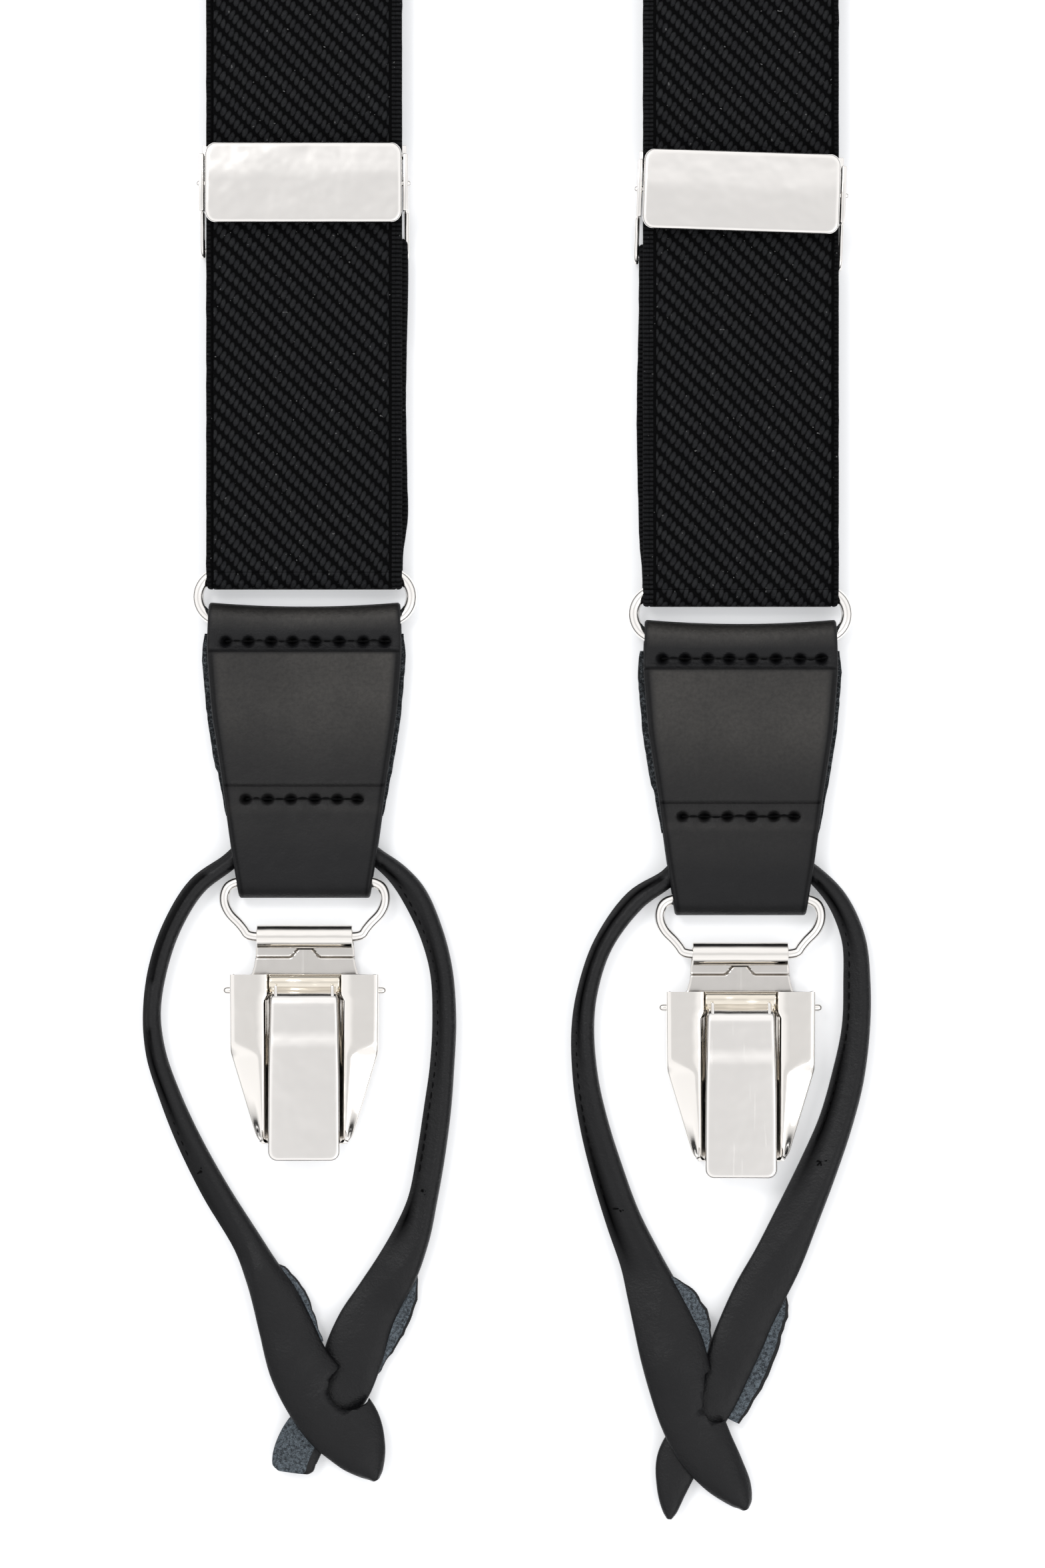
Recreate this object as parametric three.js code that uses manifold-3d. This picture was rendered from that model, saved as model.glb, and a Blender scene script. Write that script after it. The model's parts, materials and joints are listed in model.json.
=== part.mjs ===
// Y-back suspenders with flip-lever clips and rolled-leather button loops, laid out flat.
// Millimetres, +Z up. The outer faces look up, the two front straps run towards -Y and the rear strap
// towards +Y. The origin is the middle of the back patch's flat underside.

import * as THREE from 'three';
import { mergeVertices } from 'three/addons/utils/BufferGeometryUtils.js';
import Module from 'manifold-3d';

// ---------------------------------------------------------------- driving dimensions

const GAP = 0.3;                       // between pieces that touch on the real object

// Layout
const FRONT_LENGTH = 576;              // back patch's middle to the front tab's top edge
const REAR_LENGTH = 166;               // back patch's middle to the rear tab's top edge
const STRAP_SPACING = 78;              // between the middles of the two front straps
const RIGHT_LEG_DROP = 3.1;            // the right leg hangs this much lower than the left
const RIGHT_ADJUSTER_LIFT = 1.5;       // and its adjuster is drawn up this much on it
const RIGHT_ADJUSTER_TILT = -1.9;      // degrees: it sits a little askew on the strap

// Elastic webbing
const WEB_WIDTH = 35;
const WEB_THICK = 1.4;
const RETURN_BOTTOM = 0.1;             // underside of the rear layer
const HEM_LENGTH = 15.8;               // the rear layer's end, turned round the adjuster's bar
const RAMP_START = 180;                // above the tab: the strap starts to come down to the patch
const RAMP_LENGTH = 70;
const CONVERGE_START = 190;            // above the tab: the front straps start to draw together
const STRAP_SIDE_GAP = 3.5;            // between the two straps' edges where they enter the patch
const PATCH_LAP = 26;                  // length of each strap's end inside the patch
const REAR_HEM = 32;                   // the rear strap's end, turned back under itself

// Obround ring
const RING_SIDE_GAP = 0.65;            // between the webbing's edge and the ring's side
const RING_HEIGHT = 10.8;
const RING_WIRE = 1.05;                // wire radius
const RING_CORNER = 3.2;               // bend radius of the wire's middle line
const RING_CENTRE_Y = 1.2;             // above the tab's top edge

// Leather tab
const TAB_THICK = 1.5;
const TAB_SHOULDER_Y = -10;
const TAB_WAIST_HALF = 13.6;
const TAB_WAIST_Y = -35;
const TAB_END_HALF = 11.4;
const TAB_LENGTH = 52.7;
const TAB_FLAP = 11;                   // turned-back ends on the underside
const LINING_PROUD = 0.8;              // the inner leather stands out this much at each side
const LINING_TOP_Y = -5.4;
const LINING_BOTTOM_Y = -38;

// Adjuster
const ADJUSTER_Y = 74.7;               // cover's pivot, above the tab's top edge
const COVER_HEIGHT = 14.35;
const COVER_THICK = 0.8;
const COVER_CORNER = 2;
const COVER_RISE = 1.6;                // pivot to the cover plate's underside
const LUG_RADIUS = 1.05;               // the cover's lugs, round its pin
const EAR_THICK = 0.5;
const EAR_GAP = 0.5;                   // between the strap's edge and the frame's ear
const ADJUSTER_FOOT = 13;              // pivot down to the frame's lower end
const ADJUSTER_HEAD = 7.3;             // pivot up to the frame's upper end
const HEM_BAR = 0.5;                   // radius of the bar that the rear layer is sewn round
const HEM_BAR_DROP = 11.5;             // from the pivot
const COVER_PIN = 0.5;                 // radius

// Clip
const WIRE = 0.9;                      // wire loop radius
const WIRE_SPARE = 3.55;               // the wire loop stands out this much beside the tab's end
const WIRE_SHOULDER = 7;               // above the roll
const ROLL_DROP = 6.9;                 // tab's lower edge to the roll's middle
const ROLL_RADIUS = 2.1;
const ROLL_WIDTH = 17.1;
const CLIP_SHEET = 0.9;
const BODY_DROP = 6.6;                 // roll's middle to the body's top edge
const BODY_HALF = 13.5;
const BODY_STRAIGHT = 14.6;            // length of the body's upper, parallel part
const BODY_LENGTH = 30.3;
const BODY_END_HALF = 9;
const BODY_WALL = 0.7;
const WING_INNER = 6.5;
const BODY_WINDOW = 5;                 // the body's floor starts this far below its top edge
const LEVER_DROP = 3.2;                // body's top edge to the lever's
const LEVER_LENGTH = 30.2;
const LEVER_SIDE_GAP = 0.7;            // beside the lever's top, inside the wings
const LEVER_CORNER = 1.7;
const CLIP_PIN_DROP = 3;               // body's top edge to the pin
const CLIP_PIN_Z = 3.6;
const CLIP_PIN = 0.65;                 // radius
const CLIP_PIN_PROUD = 1.1;            // past the body on each side

// Rolled-leather button loop
const CORD = 1.55;                     // radius
const CORD_CORE = 1;                   // radius of the stretch that runs through the tab
const LOOP_RISE = 8.7;                 // above the tab's lower edge
const TONGUE_THICK = 1.4;
const BUTTONHOLE = 2.4;                // radius

// Back patch
const PATCH_THICK = 1.5;
const PATCH_WIDE_MARGIN = 4.25;        // leather beside the webbing, at the front and at the rear
const PATCH_NARROW_MARGIN = 3.5;
const PATCH_FRONT_Y = -38;
const PATCH_REAR_Y = 34;
const PATCH_CORNER = 5;

// ---------------------------------------------------------------- worked-out dimensions

const PATCH_ENTRY_SPACING = WEB_WIDTH + STRAP_SIDE_GAP;    // between the straps' middles
const PATCH_WIDE_HALF = PATCH_ENTRY_SPACING / 2 + WEB_WIDTH / 2 + PATCH_WIDE_MARGIN;
const PATCH_NARROW_HALF = WEB_WIDTH / 2 + PATCH_NARROW_MARGIN;
const RING_WIDTH = WEB_WIDTH + 2 * RING_SIDE_GAP + 4 * RING_WIRE;
const TAB_TOP_HALF = WEB_WIDTH / 2;
const COVER_WIDTH = WEB_WIDTH;
const WIRE_WIDTH = 2 * (TAB_END_HALF + WIRE_SPARE);
const ROLL_Y = -TAB_LENGTH - ROLL_DROP;
const WIRE_SHOULDER_Y = ROLL_Y + WIRE_SHOULDER;
const BODY_TOP_Y = ROLL_Y - BODY_DROP;
const BODY_TAPER_Y = BODY_TOP_Y - BODY_STRAIGHT;
const BODY_END_Y = BODY_TOP_Y - BODY_LENGTH;
const BODY_WINDOW_Y = BODY_TOP_Y - BODY_WINDOW;
const LEVER_TOP_Y = BODY_TOP_Y - LEVER_DROP;
const LEVER_END_Y = LEVER_TOP_Y - LEVER_LENGTH;
const LEVER_TOP_HALF = WING_INNER - LEVER_SIDE_GAP;
const LEVER_END_HALF = LEVER_TOP_HALF + 0.65;
const CLIP_PIN_Y = BODY_TOP_Y - CLIP_PIN_DROP;
const CLIP_PIN_LENGTH = 2 * (BODY_HALF + CLIP_PIN_PROUD);
const LOOP_Y = -TAB_LENGTH + LOOP_RISE;                    // the cord's way through the tab
const LOOP_START = TAB_WAIST_HALF - 1.45 + CORD;           // where the cord's full thickness begins
const LOOP_CORE_HALF = LOOP_START + 0.6;
const FOLD_INNER = RING_WIRE + 0.6;                        // inside radius of the webbing's turn
const FOLD_Z = RETURN_BOTTOM + WEB_THICK + FOLD_INNER;     // ring plane
const WEB_BOTTOM = FOLD_Z + FOLD_INNER;                    // underside of the outer layer
const WEB_TOP = WEB_BOTTOM + WEB_THICK;
const RING_TOP_Y = RING_CENTRE_Y + RING_HEIGHT / 2 - RING_WIRE;
const RING_LOW_Y = RING_CENTRE_Y - RING_HEIGHT / 2 + RING_WIRE;
const TAB_FOLD = RING_WIRE + 0.4;                          // inside radius of the tab's folds
const TAB_END_Y = -TAB_LENGTH + TAB_FOLD + TAB_THICK;      // wire loop's upper bar
const HEM_INNER = HEM_BAR + GAP;
const HEM_Z = RETURN_BOTTOM + WEB_THICK + HEM_INNER;
const COVER_PIN_Z = WEB_TOP + GAP + LUG_RADIUS;
const PLATE_Z = FOLD_Z - ROLL_RADIUS;                      // underside of the clip's back plate
const JAW_Z = PLATE_Z + CLIP_SHEET + GAP;                  // underside of the jaw pad
const JAW_PAD = 1;
const BODY_FLOOR_Z = JAW_Z + JAW_PAD + GAP;                // underside of the body's floor
const BODY_TOP_Z = BODY_FLOOR_Z + 2.6;
const LEVER_Z = BODY_TOP_Z + GAP;
const PATCH_WEB_Z = PATCH_THICK + GAP;                     // underside of the straps in the patch
const TUBE_SIDES = 8;
const BEND_STEPS = 5;

// ---------------------------------------------------------------- materials

const MATERIALS = {
  webbing: new THREE.MeshStandardMaterial({ color: 0x151517, roughness: 0.85, metalness: 0 }),
  leather: new THREE.MeshStandardMaterial({ color: 0x2a2a2c, roughness: 0.5, metalness: 0 }),
  suede: new THREE.MeshStandardMaterial({ color: 0x5a6268, roughness: 0.95, metalness: 0 }),
  nickel: new THREE.MeshStandardMaterial({ color: 0xdcd7d2, roughness: 0.15, metalness: 1 }),
  spring: new THREE.MeshStandardMaterial({ color: 0xc9b48f, roughness: 0.3, metalness: 1 }),
  pad: new THREE.MeshStandardMaterial({ color: 0x202022, roughness: 0.6, metalness: 0 }),
};

// ---------------------------------------------------------------- shape helpers

const wasm = await Module();
wasm.setup();

function toSolid(geometry) {
  const bare = geometry.index ? geometry.toNonIndexed() : geometry.clone();
  bare.deleteAttribute('normal');
  bare.deleteAttribute('uv');
  const merged = mergeVertices(bare, 1e-4);
  return new wasm.Manifold(new wasm.Mesh({
    numProp: 3,
    vertProperties: new Float32Array(merged.attributes.position.array),
    triVerts: new Uint32Array(merged.index.array),
  }));
}

function toGeometry(solid) {
  const mesh = solid.getMesh();
  const geometry = new THREE.BufferGeometry();
  geometry.setAttribute('position', new THREE.BufferAttribute(mesh.vertProperties, 3));
  geometry.setIndex(new THREE.BufferAttribute(mesh.triVerts, 1));
  return geometry;
}

function combine(how, first, ...others) {
  return toGeometry(others.reduce((solid, other) => solid[how](toSolid(other)), toSolid(first)));
}

const join = (...pieces) => combine('add', ...pieces);
const cut = (...pieces) => combine('subtract', ...pieces);
const common = (...pieces) => combine('intersect', ...pieces);

// A straight line to an arc's first point, then the arc.
function lineThenArc(shape, x, y, radius, start, end, clockwise = false) {
  shape.lineTo(x + radius * Math.cos(start), y + radius * Math.sin(start));
  shape.absarc(x, y, radius, start, end, clockwise);
}

function polygon(points) {
  return new THREE.Shape(points.map(([x, y]) => new THREE.Vector2(x, y)));
}

// A flat piece: an outline seen from above, between two heights.
function plate(shape, low, high, curveSegments = 6) {
  const geometry = new THREE.ExtrudeGeometry(shape,
    { depth: high - low, bevelEnabled: false, curveSegments });
  return geometry.translate(0, 0, low);
}

// A side profile in Y and Z, as wide as asked along X.
function acrossX(shape, width, curveSegments = 6) {
  const geometry = new THREE.ExtrudeGeometry(shape,
    { depth: width, bevelEnabled: false, curveSegments });
  geometry.translate(0, 0, -width / 2);
  return geometry.applyMatrix4(new THREE.Matrix4().makeBasis(
    new THREE.Vector3(0, 1, 0), new THREE.Vector3(0, 0, 1), new THREE.Vector3(1, 0, 0)));
}

// An end-on profile in X and Z, between two places along Y.
function alongY(points, nearY, farY) {
  const geometry = new THREE.ExtrudeGeometry(polygon(points.map(([x, z]) => [x, -z])),
    { depth: farY - nearY, bevelEnabled: false });
  return geometry.rotateX(-Math.PI / 2).translate(0, nearY, 0);
}

function box(x0, x1, y0, y1, z0, z1) {
  return new THREE.BoxGeometry(x1 - x0, y1 - y0, z1 - z0)
    .translate((x0 + x1) / 2, (y0 + y1) / 2, (z0 + z1) / 2);
}

// A round bar along X.
function bar(radius, length, y, z, sides = 16) {
  return new THREE.CylinderGeometry(radius, radius, length, sides)
    .rotateZ(Math.PI / 2).translate(0, y, z);
}

function tube(curve, radius, steps) {
  const turns = Array.from({ length: TUBE_SIDES }, (_, i) => (2 * Math.PI * (i + 0.5)) / TUBE_SIDES);
  const section = polygon(turns.map((turn) => [radius * Math.cos(turn), radius * Math.sin(turn)]));
  return new THREE.ExtrudeGeometry(section, { steps, bevelEnabled: false, extrudePath: curve });
}

function roundedRectangle(halfWidth, lowY, highY, radius) {
  const shape = new THREE.Shape();
  shape.moveTo(-halfWidth + radius, lowY);
  shape.lineTo(halfWidth - radius, lowY);
  shape.absarc(halfWidth - radius, lowY + radius, radius, -Math.PI / 2, 0);
  shape.lineTo(halfWidth, highY - radius);
  shape.absarc(halfWidth - radius, highY - radius, radius, 0, Math.PI / 2);
  shape.lineTo(-halfWidth + radius, highY);
  shape.absarc(-halfWidth + radius, highY - radius, radius, Math.PI / 2, Math.PI);
  shape.lineTo(-halfWidth, lowY + radius);
  shape.absarc(-halfWidth + radius, lowY + radius, radius, Math.PI, 1.5 * Math.PI);
  return shape;
}

// A path that a tube follows point by point.
class PointPath extends THREE.Curve {
  constructor(points) {
    super();
    this.points = points;
  }

  getPointAt(t) {
    return this.points[Math.round(t * (this.points.length - 1))].clone();
  }

  getTangentAt(t) {
    const i = Math.round(t * (this.points.length - 1));
    const before = this.points[Math.max(i - 1, 0)];
    const after = this.points[Math.min(i + 1, this.points.length - 1)];
    return after.clone().sub(before).normalize();
  }
}

// A closed wire loop, symmetric about X = 0: each half is a tube bent at the corners given,
// and the halves lap in the middle of the two bars.
function wireLoop(corners, bend, radius, z) {
  const lap = 1;
  const halves = [1, -1].map((side) => {
    const points = corners.map(([x, y]) => new THREE.Vector3(x * side, y, z));
    points.unshift(new THREE.Vector3(-lap * side, corners[0][1], z));
    points.push(new THREE.Vector3(-lap * side, corners[corners.length - 1][1], z));
    const path = [points[0]];
    for (let i = 1; i < points.length - 1; i += 1) {
      const before = points[i].clone().lerp(points[i - 1], bend / points[i].distanceTo(points[i - 1]));
      const after = points[i].clone().lerp(points[i + 1], bend / points[i].distanceTo(points[i + 1]));
      path.push(...new THREE.QuadraticBezierCurve3(before, points[i], after).getPoints(BEND_STEPS));
    }
    path.push(points[points.length - 1]);
    return tube(new PointPath(path), radius, path.length - 1);
  });
  return join(...halves);
}

const smoothStep = (t) => {
  const clamped = Math.min(Math.max(t, 0), 1);
  return clamped * clamped * (3 - 2 * clamped);
};

// Half a turn of a flat strip round a bar, in Y and Z: side +1 turns at the +Y end.
function turnProfile(y, z, inner, thick, side) {
  const shape = new THREE.Shape();
  const start = side > 0 ? -Math.PI / 2 : Math.PI / 2;
  shape.absarc(y, z, inner + thick, start, start + Math.PI);
  shape.absarc(y, z, inner, start + Math.PI, start, true);
  return shape;
}

// ---------------------------------------------------------------- webbing

// Middle line of a front strap, seen from above: x grows inwards from 0 as y nears the patch.
function convergingOutline(fromY, toY, inward) {
  const steps = 14;
  const startY = CONVERGE_START;
  const middles = [[0, fromY], [0, startY]];
  for (let i = 1; i <= steps; i += 1) {
    const t = i / steps;
    middles.push([inward * smoothStep(t), startY + (toY - startY) * t]);
  }
  const half = WEB_WIDTH / 2;
  const right = middles.map(([x, y]) => [x + half, y]);
  const left = middles.map(([x, y]) => [x - half, y]).reverse();
  return polygon([...right, ...left]);
}

// Side profile of a strap that comes down from the ring's level to the patch's.
function rampProfile(fromY, toY) {
  const steps = 8;
  const drop = PATCH_WEB_Z - WEB_BOTTOM;
  const line = [[fromY, WEB_BOTTOM]];
  for (let i = 0; i <= steps; i += 1) {
    const t = i / steps;
    line.push([RAMP_START + RAMP_LENGTH * t, WEB_BOTTOM + drop * smoothStep(t)]);
  }
  line.push([toY, PATCH_WEB_Z]);
  const top = line.map(([y, z]) => [y, z + WEB_THICK]).reverse();
  return polygon([...line, ...top]);
}

function frontWebbing(patchY, inward) {
  const endY = patchY + PATCH_FRONT_Y + PATCH_LAP;
  const outline = plate(convergingOutline(RING_TOP_Y + GAP, endY, inward), -5, 15);
  return common(acrossX(rampProfile(RING_TOP_Y + GAP, endY), 4 * WEB_WIDTH), outline);
}

function webbingTurn() {
  return acrossX(turnProfile(RING_TOP_Y, FOLD_Z, FOLD_INNER, WEB_THICK, -1), WEB_WIDTH, 10);
}

function hemProfile(lowY, barY, hemLength) {
  const shape = new THREE.Shape();
  shape.moveTo(lowY, RETURN_BOTTOM);
  lineThenArc(shape, barY, HEM_Z, HEM_INNER + WEB_THICK, -Math.PI / 2, Math.PI / 2);
  shape.lineTo(barY - hemLength, HEM_Z + HEM_INNER + WEB_THICK);
  shape.lineTo(barY - hemLength, HEM_Z + HEM_INNER);
  shape.absarc(barY, HEM_Z, HEM_INNER, Math.PI / 2, -Math.PI / 2, true);
  shape.lineTo(lowY, RETURN_BOTTOM + WEB_THICK);
  return shape;
}

function returnWebbing(barY) {
  return acrossX(hemProfile(RING_TOP_Y + GAP, barY, HEM_LENGTH), WEB_WIDTH, 8);
}

// The rear strap is sewn in the patch, runs to the rear ring, turns round it and ends in a hem.
function rearWebbing(patchY) {
  const endY = patchY - PATCH_REAR_Y + PATCH_LAP;
  const rampEnd = patchY - PATCH_REAR_Y - 8;
  const rampStart = rampEnd - RAMP_LENGTH;
  const steps = 8;
  const line = [];
  for (let i = 0; i <= steps; i += 1) {
    const t = i / steps;
    line.push([rampStart + RAMP_LENGTH * t,
      WEB_BOTTOM + (PATCH_WEB_Z - WEB_BOTTOM) * smoothStep(t)]);
  }
  line.push([endY, PATCH_WEB_Z]);
  const shape = new THREE.Shape();
  shape.moveTo(RING_TOP_Y + REAR_HEM, RETURN_BOTTOM + WEB_THICK);
  lineThenArc(shape, RING_TOP_Y, FOLD_Z, FOLD_INNER, -Math.PI / 2, -1.5 * Math.PI, true);
  line.forEach(([y, z]) => shape.lineTo(y, z));
  line.reverse().forEach(([y, z]) => shape.lineTo(y, z + WEB_THICK));
  shape.absarc(RING_TOP_Y, FOLD_Z, FOLD_INNER + WEB_THICK, 0.5 * Math.PI, 1.5 * Math.PI);
  shape.lineTo(RING_TOP_Y + REAR_HEM, RETURN_BOTTOM);
  return acrossX(shape, WEB_WIDTH, 10);
}

// ---------------------------------------------------------------- adjuster, about its pivot

function adjusterFrame() {
  const inner = WEB_WIDTH / 2 + EAR_GAP;
  const outer = inner + EAR_THICK;
  const low = -COVER_PIN_Z + RETURN_BOTTOM;
  const ear = new THREE.Shape();
  ear.moveTo(-ADJUSTER_FOOT, low);
  ear.lineTo(ADJUSTER_HEAD, low);
  ear.lineTo(ADJUSTER_HEAD, -1);
  ear.lineTo(4.5, 1.4);
  ear.lineTo(-4.5, 1.4);
  ear.lineTo(-ADJUSTER_FOOT, -2.6);
  ear.closePath();
  const pinHole = new THREE.Path().absarc(0, 0, COVER_PIN + 0.02, 0, 2 * Math.PI, true);
  ear.holes.push(pinHole);
  const middle = (inner + outer) / 2;
  const crossLow = WEB_BOTTOM - GAP - 1 - COVER_PIN_Z;
  return join(
    acrossX(ear, EAR_THICK).translate(middle, 0, 0),
    acrossX(ear, EAR_THICK).translate(-middle, 0, 0),
    bar(HEM_BAR, 2 * middle, -HEM_BAR_DROP, HEM_Z - COVER_PIN_Z, 12),
    box(-middle, middle, ADJUSTER_HEAD - 6, ADJUSTER_HEAD, crossLow, crossLow + 1),
  );
}

function adjusterPin() {
  const length = WEB_WIDTH + 2 * (EAR_GAP + EAR_THICK) + 1;
  return bar(COVER_PIN, length, 0, 0, 12);
}

function adjusterCover() {
  const face = plate(
    roundedRectangle(COVER_WIDTH / 2, -COVER_HEIGHT / 2, COVER_HEIGHT / 2, COVER_CORNER),
    COVER_RISE, COVER_RISE + COVER_THICK);
  const lug = new THREE.Shape();
  lug.moveTo(-3.6, COVER_RISE + 0.1);
  lineThenArc(lug, 0, 0, LUG_RADIUS, Math.PI, 2 * Math.PI);
  lug.lineTo(3.6, COVER_RISE + 0.1);
  lug.closePath();
  lug.holes.push(new THREE.Path().absarc(0, 0, COVER_PIN + 0.06, 0, 2 * Math.PI, true));
  const lugX = COVER_WIDTH / 2 - EAR_THICK / 2;
  const lip = box(-COVER_WIDTH / 2 + 3, COVER_WIDTH / 2 - 3, -COVER_HEIGHT / 2 + 0.4,
    -COVER_HEIGHT / 2 + 1.1, 0, COVER_RISE + 0.1);
  return join(face, acrossX(lug, EAR_THICK).translate(lugX, 0, 0),
    acrossX(lug, EAR_THICK).translate(-lugX, 0, 0), lip);
}

// ---------------------------------------------------------------- ring and leather tab

function ring() {
  const x = RING_WIDTH / 2 - RING_WIRE;
  return wireLoop([[x, RING_TOP_Y], [x, RING_LOW_Y]], RING_CORNER, RING_WIRE, FOLD_Z);
}

function tabOutline(proud, topY, endY) {
  const side = new THREE.SplineCurve([
    new THREE.Vector2(TAB_TOP_HALF, TAB_SHOULDER_Y),
    new THREE.Vector2((TAB_TOP_HALF + TAB_WAIST_HALF) / 2 + 0.2, (TAB_SHOULDER_Y + TAB_WAIST_Y) / 2),
    new THREE.Vector2(TAB_WAIST_HALF, TAB_WAIST_Y),
    new THREE.Vector2(TAB_END_HALF, -TAB_LENGTH),
  ]).getPoints(9);
  const right = [new THREE.Vector2(TAB_TOP_HALF, 5), ...side,
    new THREE.Vector2(TAB_END_HALF, -TAB_LENGTH - 5)].map((p) => [p.x + proud, p.y]);
  const left = right.map(([x, y]) => [-x, y]).reverse();
  const clip = box(-40, 40, endY, topY, -10, 20);
  return common(plate(polygon([...right, ...left]), -5, 15), clip);
}

// One strip of leather, folded round the ring at the top and round the wire loop at the bottom.
function tabFront() {
  const inner = TAB_FOLD;
  const outer = TAB_FOLD + TAB_THICK;
  const shape = new THREE.Shape();
  shape.moveTo(RING_LOW_Y - TAB_FLAP, FOLD_Z - outer);
  lineThenArc(shape, RING_LOW_Y, FOLD_Z, outer, -Math.PI / 2, Math.PI / 2);
  shape.absarc(TAB_END_Y, FOLD_Z, outer, Math.PI / 2, 1.5 * Math.PI);
  shape.lineTo(TAB_END_Y + TAB_FLAP, FOLD_Z - outer);
  shape.lineTo(TAB_END_Y + TAB_FLAP, FOLD_Z - inner);
  shape.absarc(TAB_END_Y, FOLD_Z, inner, -Math.PI / 2, Math.PI / 2, true);
  shape.absarc(RING_LOW_Y, FOLD_Z, inner, Math.PI / 2, -Math.PI / 2, true);
  shape.lineTo(RING_LOW_Y - TAB_FLAP, FOLD_Z - inner);
  return common(acrossX(shape, 60, 8), tabOutline(0, 3, -TAB_LENGTH - 3));
}

function tabLining() {
  const outline = tabOutline(LINING_PROUD, LINING_TOP_Y, LINING_BOTTOM_Y);
  return common(outline, box(-40, 40, -60, 10, FOLD_Z - TAB_FOLD + GAP, FOLD_Z + TAB_FOLD - GAP));
}

// ---------------------------------------------------------------- clip

function clipWire() {
  const wide = WIRE_WIDTH / 2 - WIRE;
  const narrow = ROLL_WIDTH / 2 + WIRE + GAP;
  return wireLoop([[wide - 1.2, TAB_END_Y], [wide, WIRE_SHOULDER_Y], [narrow, ROLL_Y]],
    0.9, WIRE, FOLD_Z);
}

// The sheet that rolls round the wire, necks down and becomes the clip's back jaw.
function clipBack() {
  const outline = polygon([
    [ROLL_WIDTH / 2, ROLL_Y - 0.5], [ROLL_WIDTH / 2, ROLL_Y - 5.2], [BODY_HALF - 1.5, BODY_TOP_Y - 0.4],
    [BODY_HALF - 1.5, BODY_TAPER_Y], [BODY_END_HALF - 1, BODY_END_Y + 0.5],
    [-BODY_END_HALF + 1, BODY_END_Y + 0.5], [-BODY_HALF + 1.5, BODY_TAPER_Y],
    [-BODY_HALF + 1.5, BODY_TOP_Y - 0.4], [-ROLL_WIDTH / 2, ROLL_Y - 5.2],
    [-ROLL_WIDTH / 2, ROLL_Y - 0.5]]);
  const sheet = plate(outline, PLATE_Z, PLATE_Z + CLIP_SHEET);
  const roll = new THREE.Shape().absarc(ROLL_Y, FOLD_Z, ROLL_RADIUS, 0, 2 * Math.PI);
  roll.holes.push(new THREE.Path().absarc(ROLL_Y, FOLD_Z, WIRE + GAP, 0, 2 * Math.PI, true));
  const ear = new THREE.Shape();
  ear.moveTo(CLIP_PIN_Y - 2.4, PLATE_Z);
  ear.lineTo(CLIP_PIN_Y + 2.4, PLATE_Z);
  ear.absarc(CLIP_PIN_Y, CLIP_PIN_Z, 1.5, 0.2, Math.PI - 0.2);
  ear.closePath();
  ear.holes.push(new THREE.Path().absarc(CLIP_PIN_Y, CLIP_PIN_Z, CLIP_PIN + 0.02, 0, 2 * Math.PI, true));
  const earX = BODY_HALF - 1.5 - BODY_WALL / 2;
  return join(sheet, acrossX(roll, ROLL_WIDTH, 8), acrossX(ear, BODY_WALL, 6).translate(earX, 0, 0),
    acrossX(ear, BODY_WALL, 6).translate(-earX, 0, 0));
}

function jawPad() {
  const outline = polygon([[BODY_HALF - 3, BODY_TAPER_Y + 6], [BODY_HALF - 3, BODY_TAPER_Y],
    [BODY_END_HALF - 2, BODY_END_Y + 1.5], [-BODY_END_HALF + 2, BODY_END_Y + 1.5],
    [-BODY_HALF + 3, BODY_TAPER_Y], [-BODY_HALF + 3, BODY_TAPER_Y + 6]]);
  const grooves = [0, 1, 2, 3].map((i) => box(-6.5, 6.5, BODY_END_Y + 3 + 3.4 * i,
    BODY_END_Y + 4 + 3.4 * i, JAW_Z + 0.8, JAW_Z + JAW_PAD + 1));
  return cut(plate(outline, JAW_Z, JAW_Z + JAW_PAD), ...grooves);
}

// The body: two raised wings with side walls, joined by a floor below the window.
function clipBody() {
  const outer = BODY_HALF;
  const wing = (side) => alongY([
    [side * outer, PLATE_Z], [side * outer, BODY_TOP_Z], [side * WING_INNER, BODY_TOP_Z],
    [side * WING_INNER, BODY_FLOOR_Z], [side * (WING_INNER + BODY_WALL), BODY_FLOOR_Z],
    [side * (WING_INNER + BODY_WALL), BODY_TOP_Z - BODY_WALL],
    [side * (outer - BODY_WALL), BODY_TOP_Z - BODY_WALL], [side * (outer - BODY_WALL), PLATE_Z]],
  BODY_END_Y, BODY_TOP_Y);
  const outline = plate(polygon([[outer, BODY_TOP_Y], [outer, BODY_TAPER_Y],
    [BODY_END_HALF, BODY_END_Y], [-BODY_END_HALF, BODY_END_Y], [-outer, BODY_TAPER_Y],
    [-outer, BODY_TOP_Y]]), -5, 20);
  const floor = box(-outer, outer, BODY_END_Y, BODY_WINDOW_Y, BODY_FLOOR_Z, BODY_FLOOR_Z + 0.8);
  const shell = common(join(wing(1), wing(-1), floor), outline);
  return cut(shell, bar(CLIP_PIN + 0.1, 60, CLIP_PIN_Y, CLIP_PIN_Z, 16));
}

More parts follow.
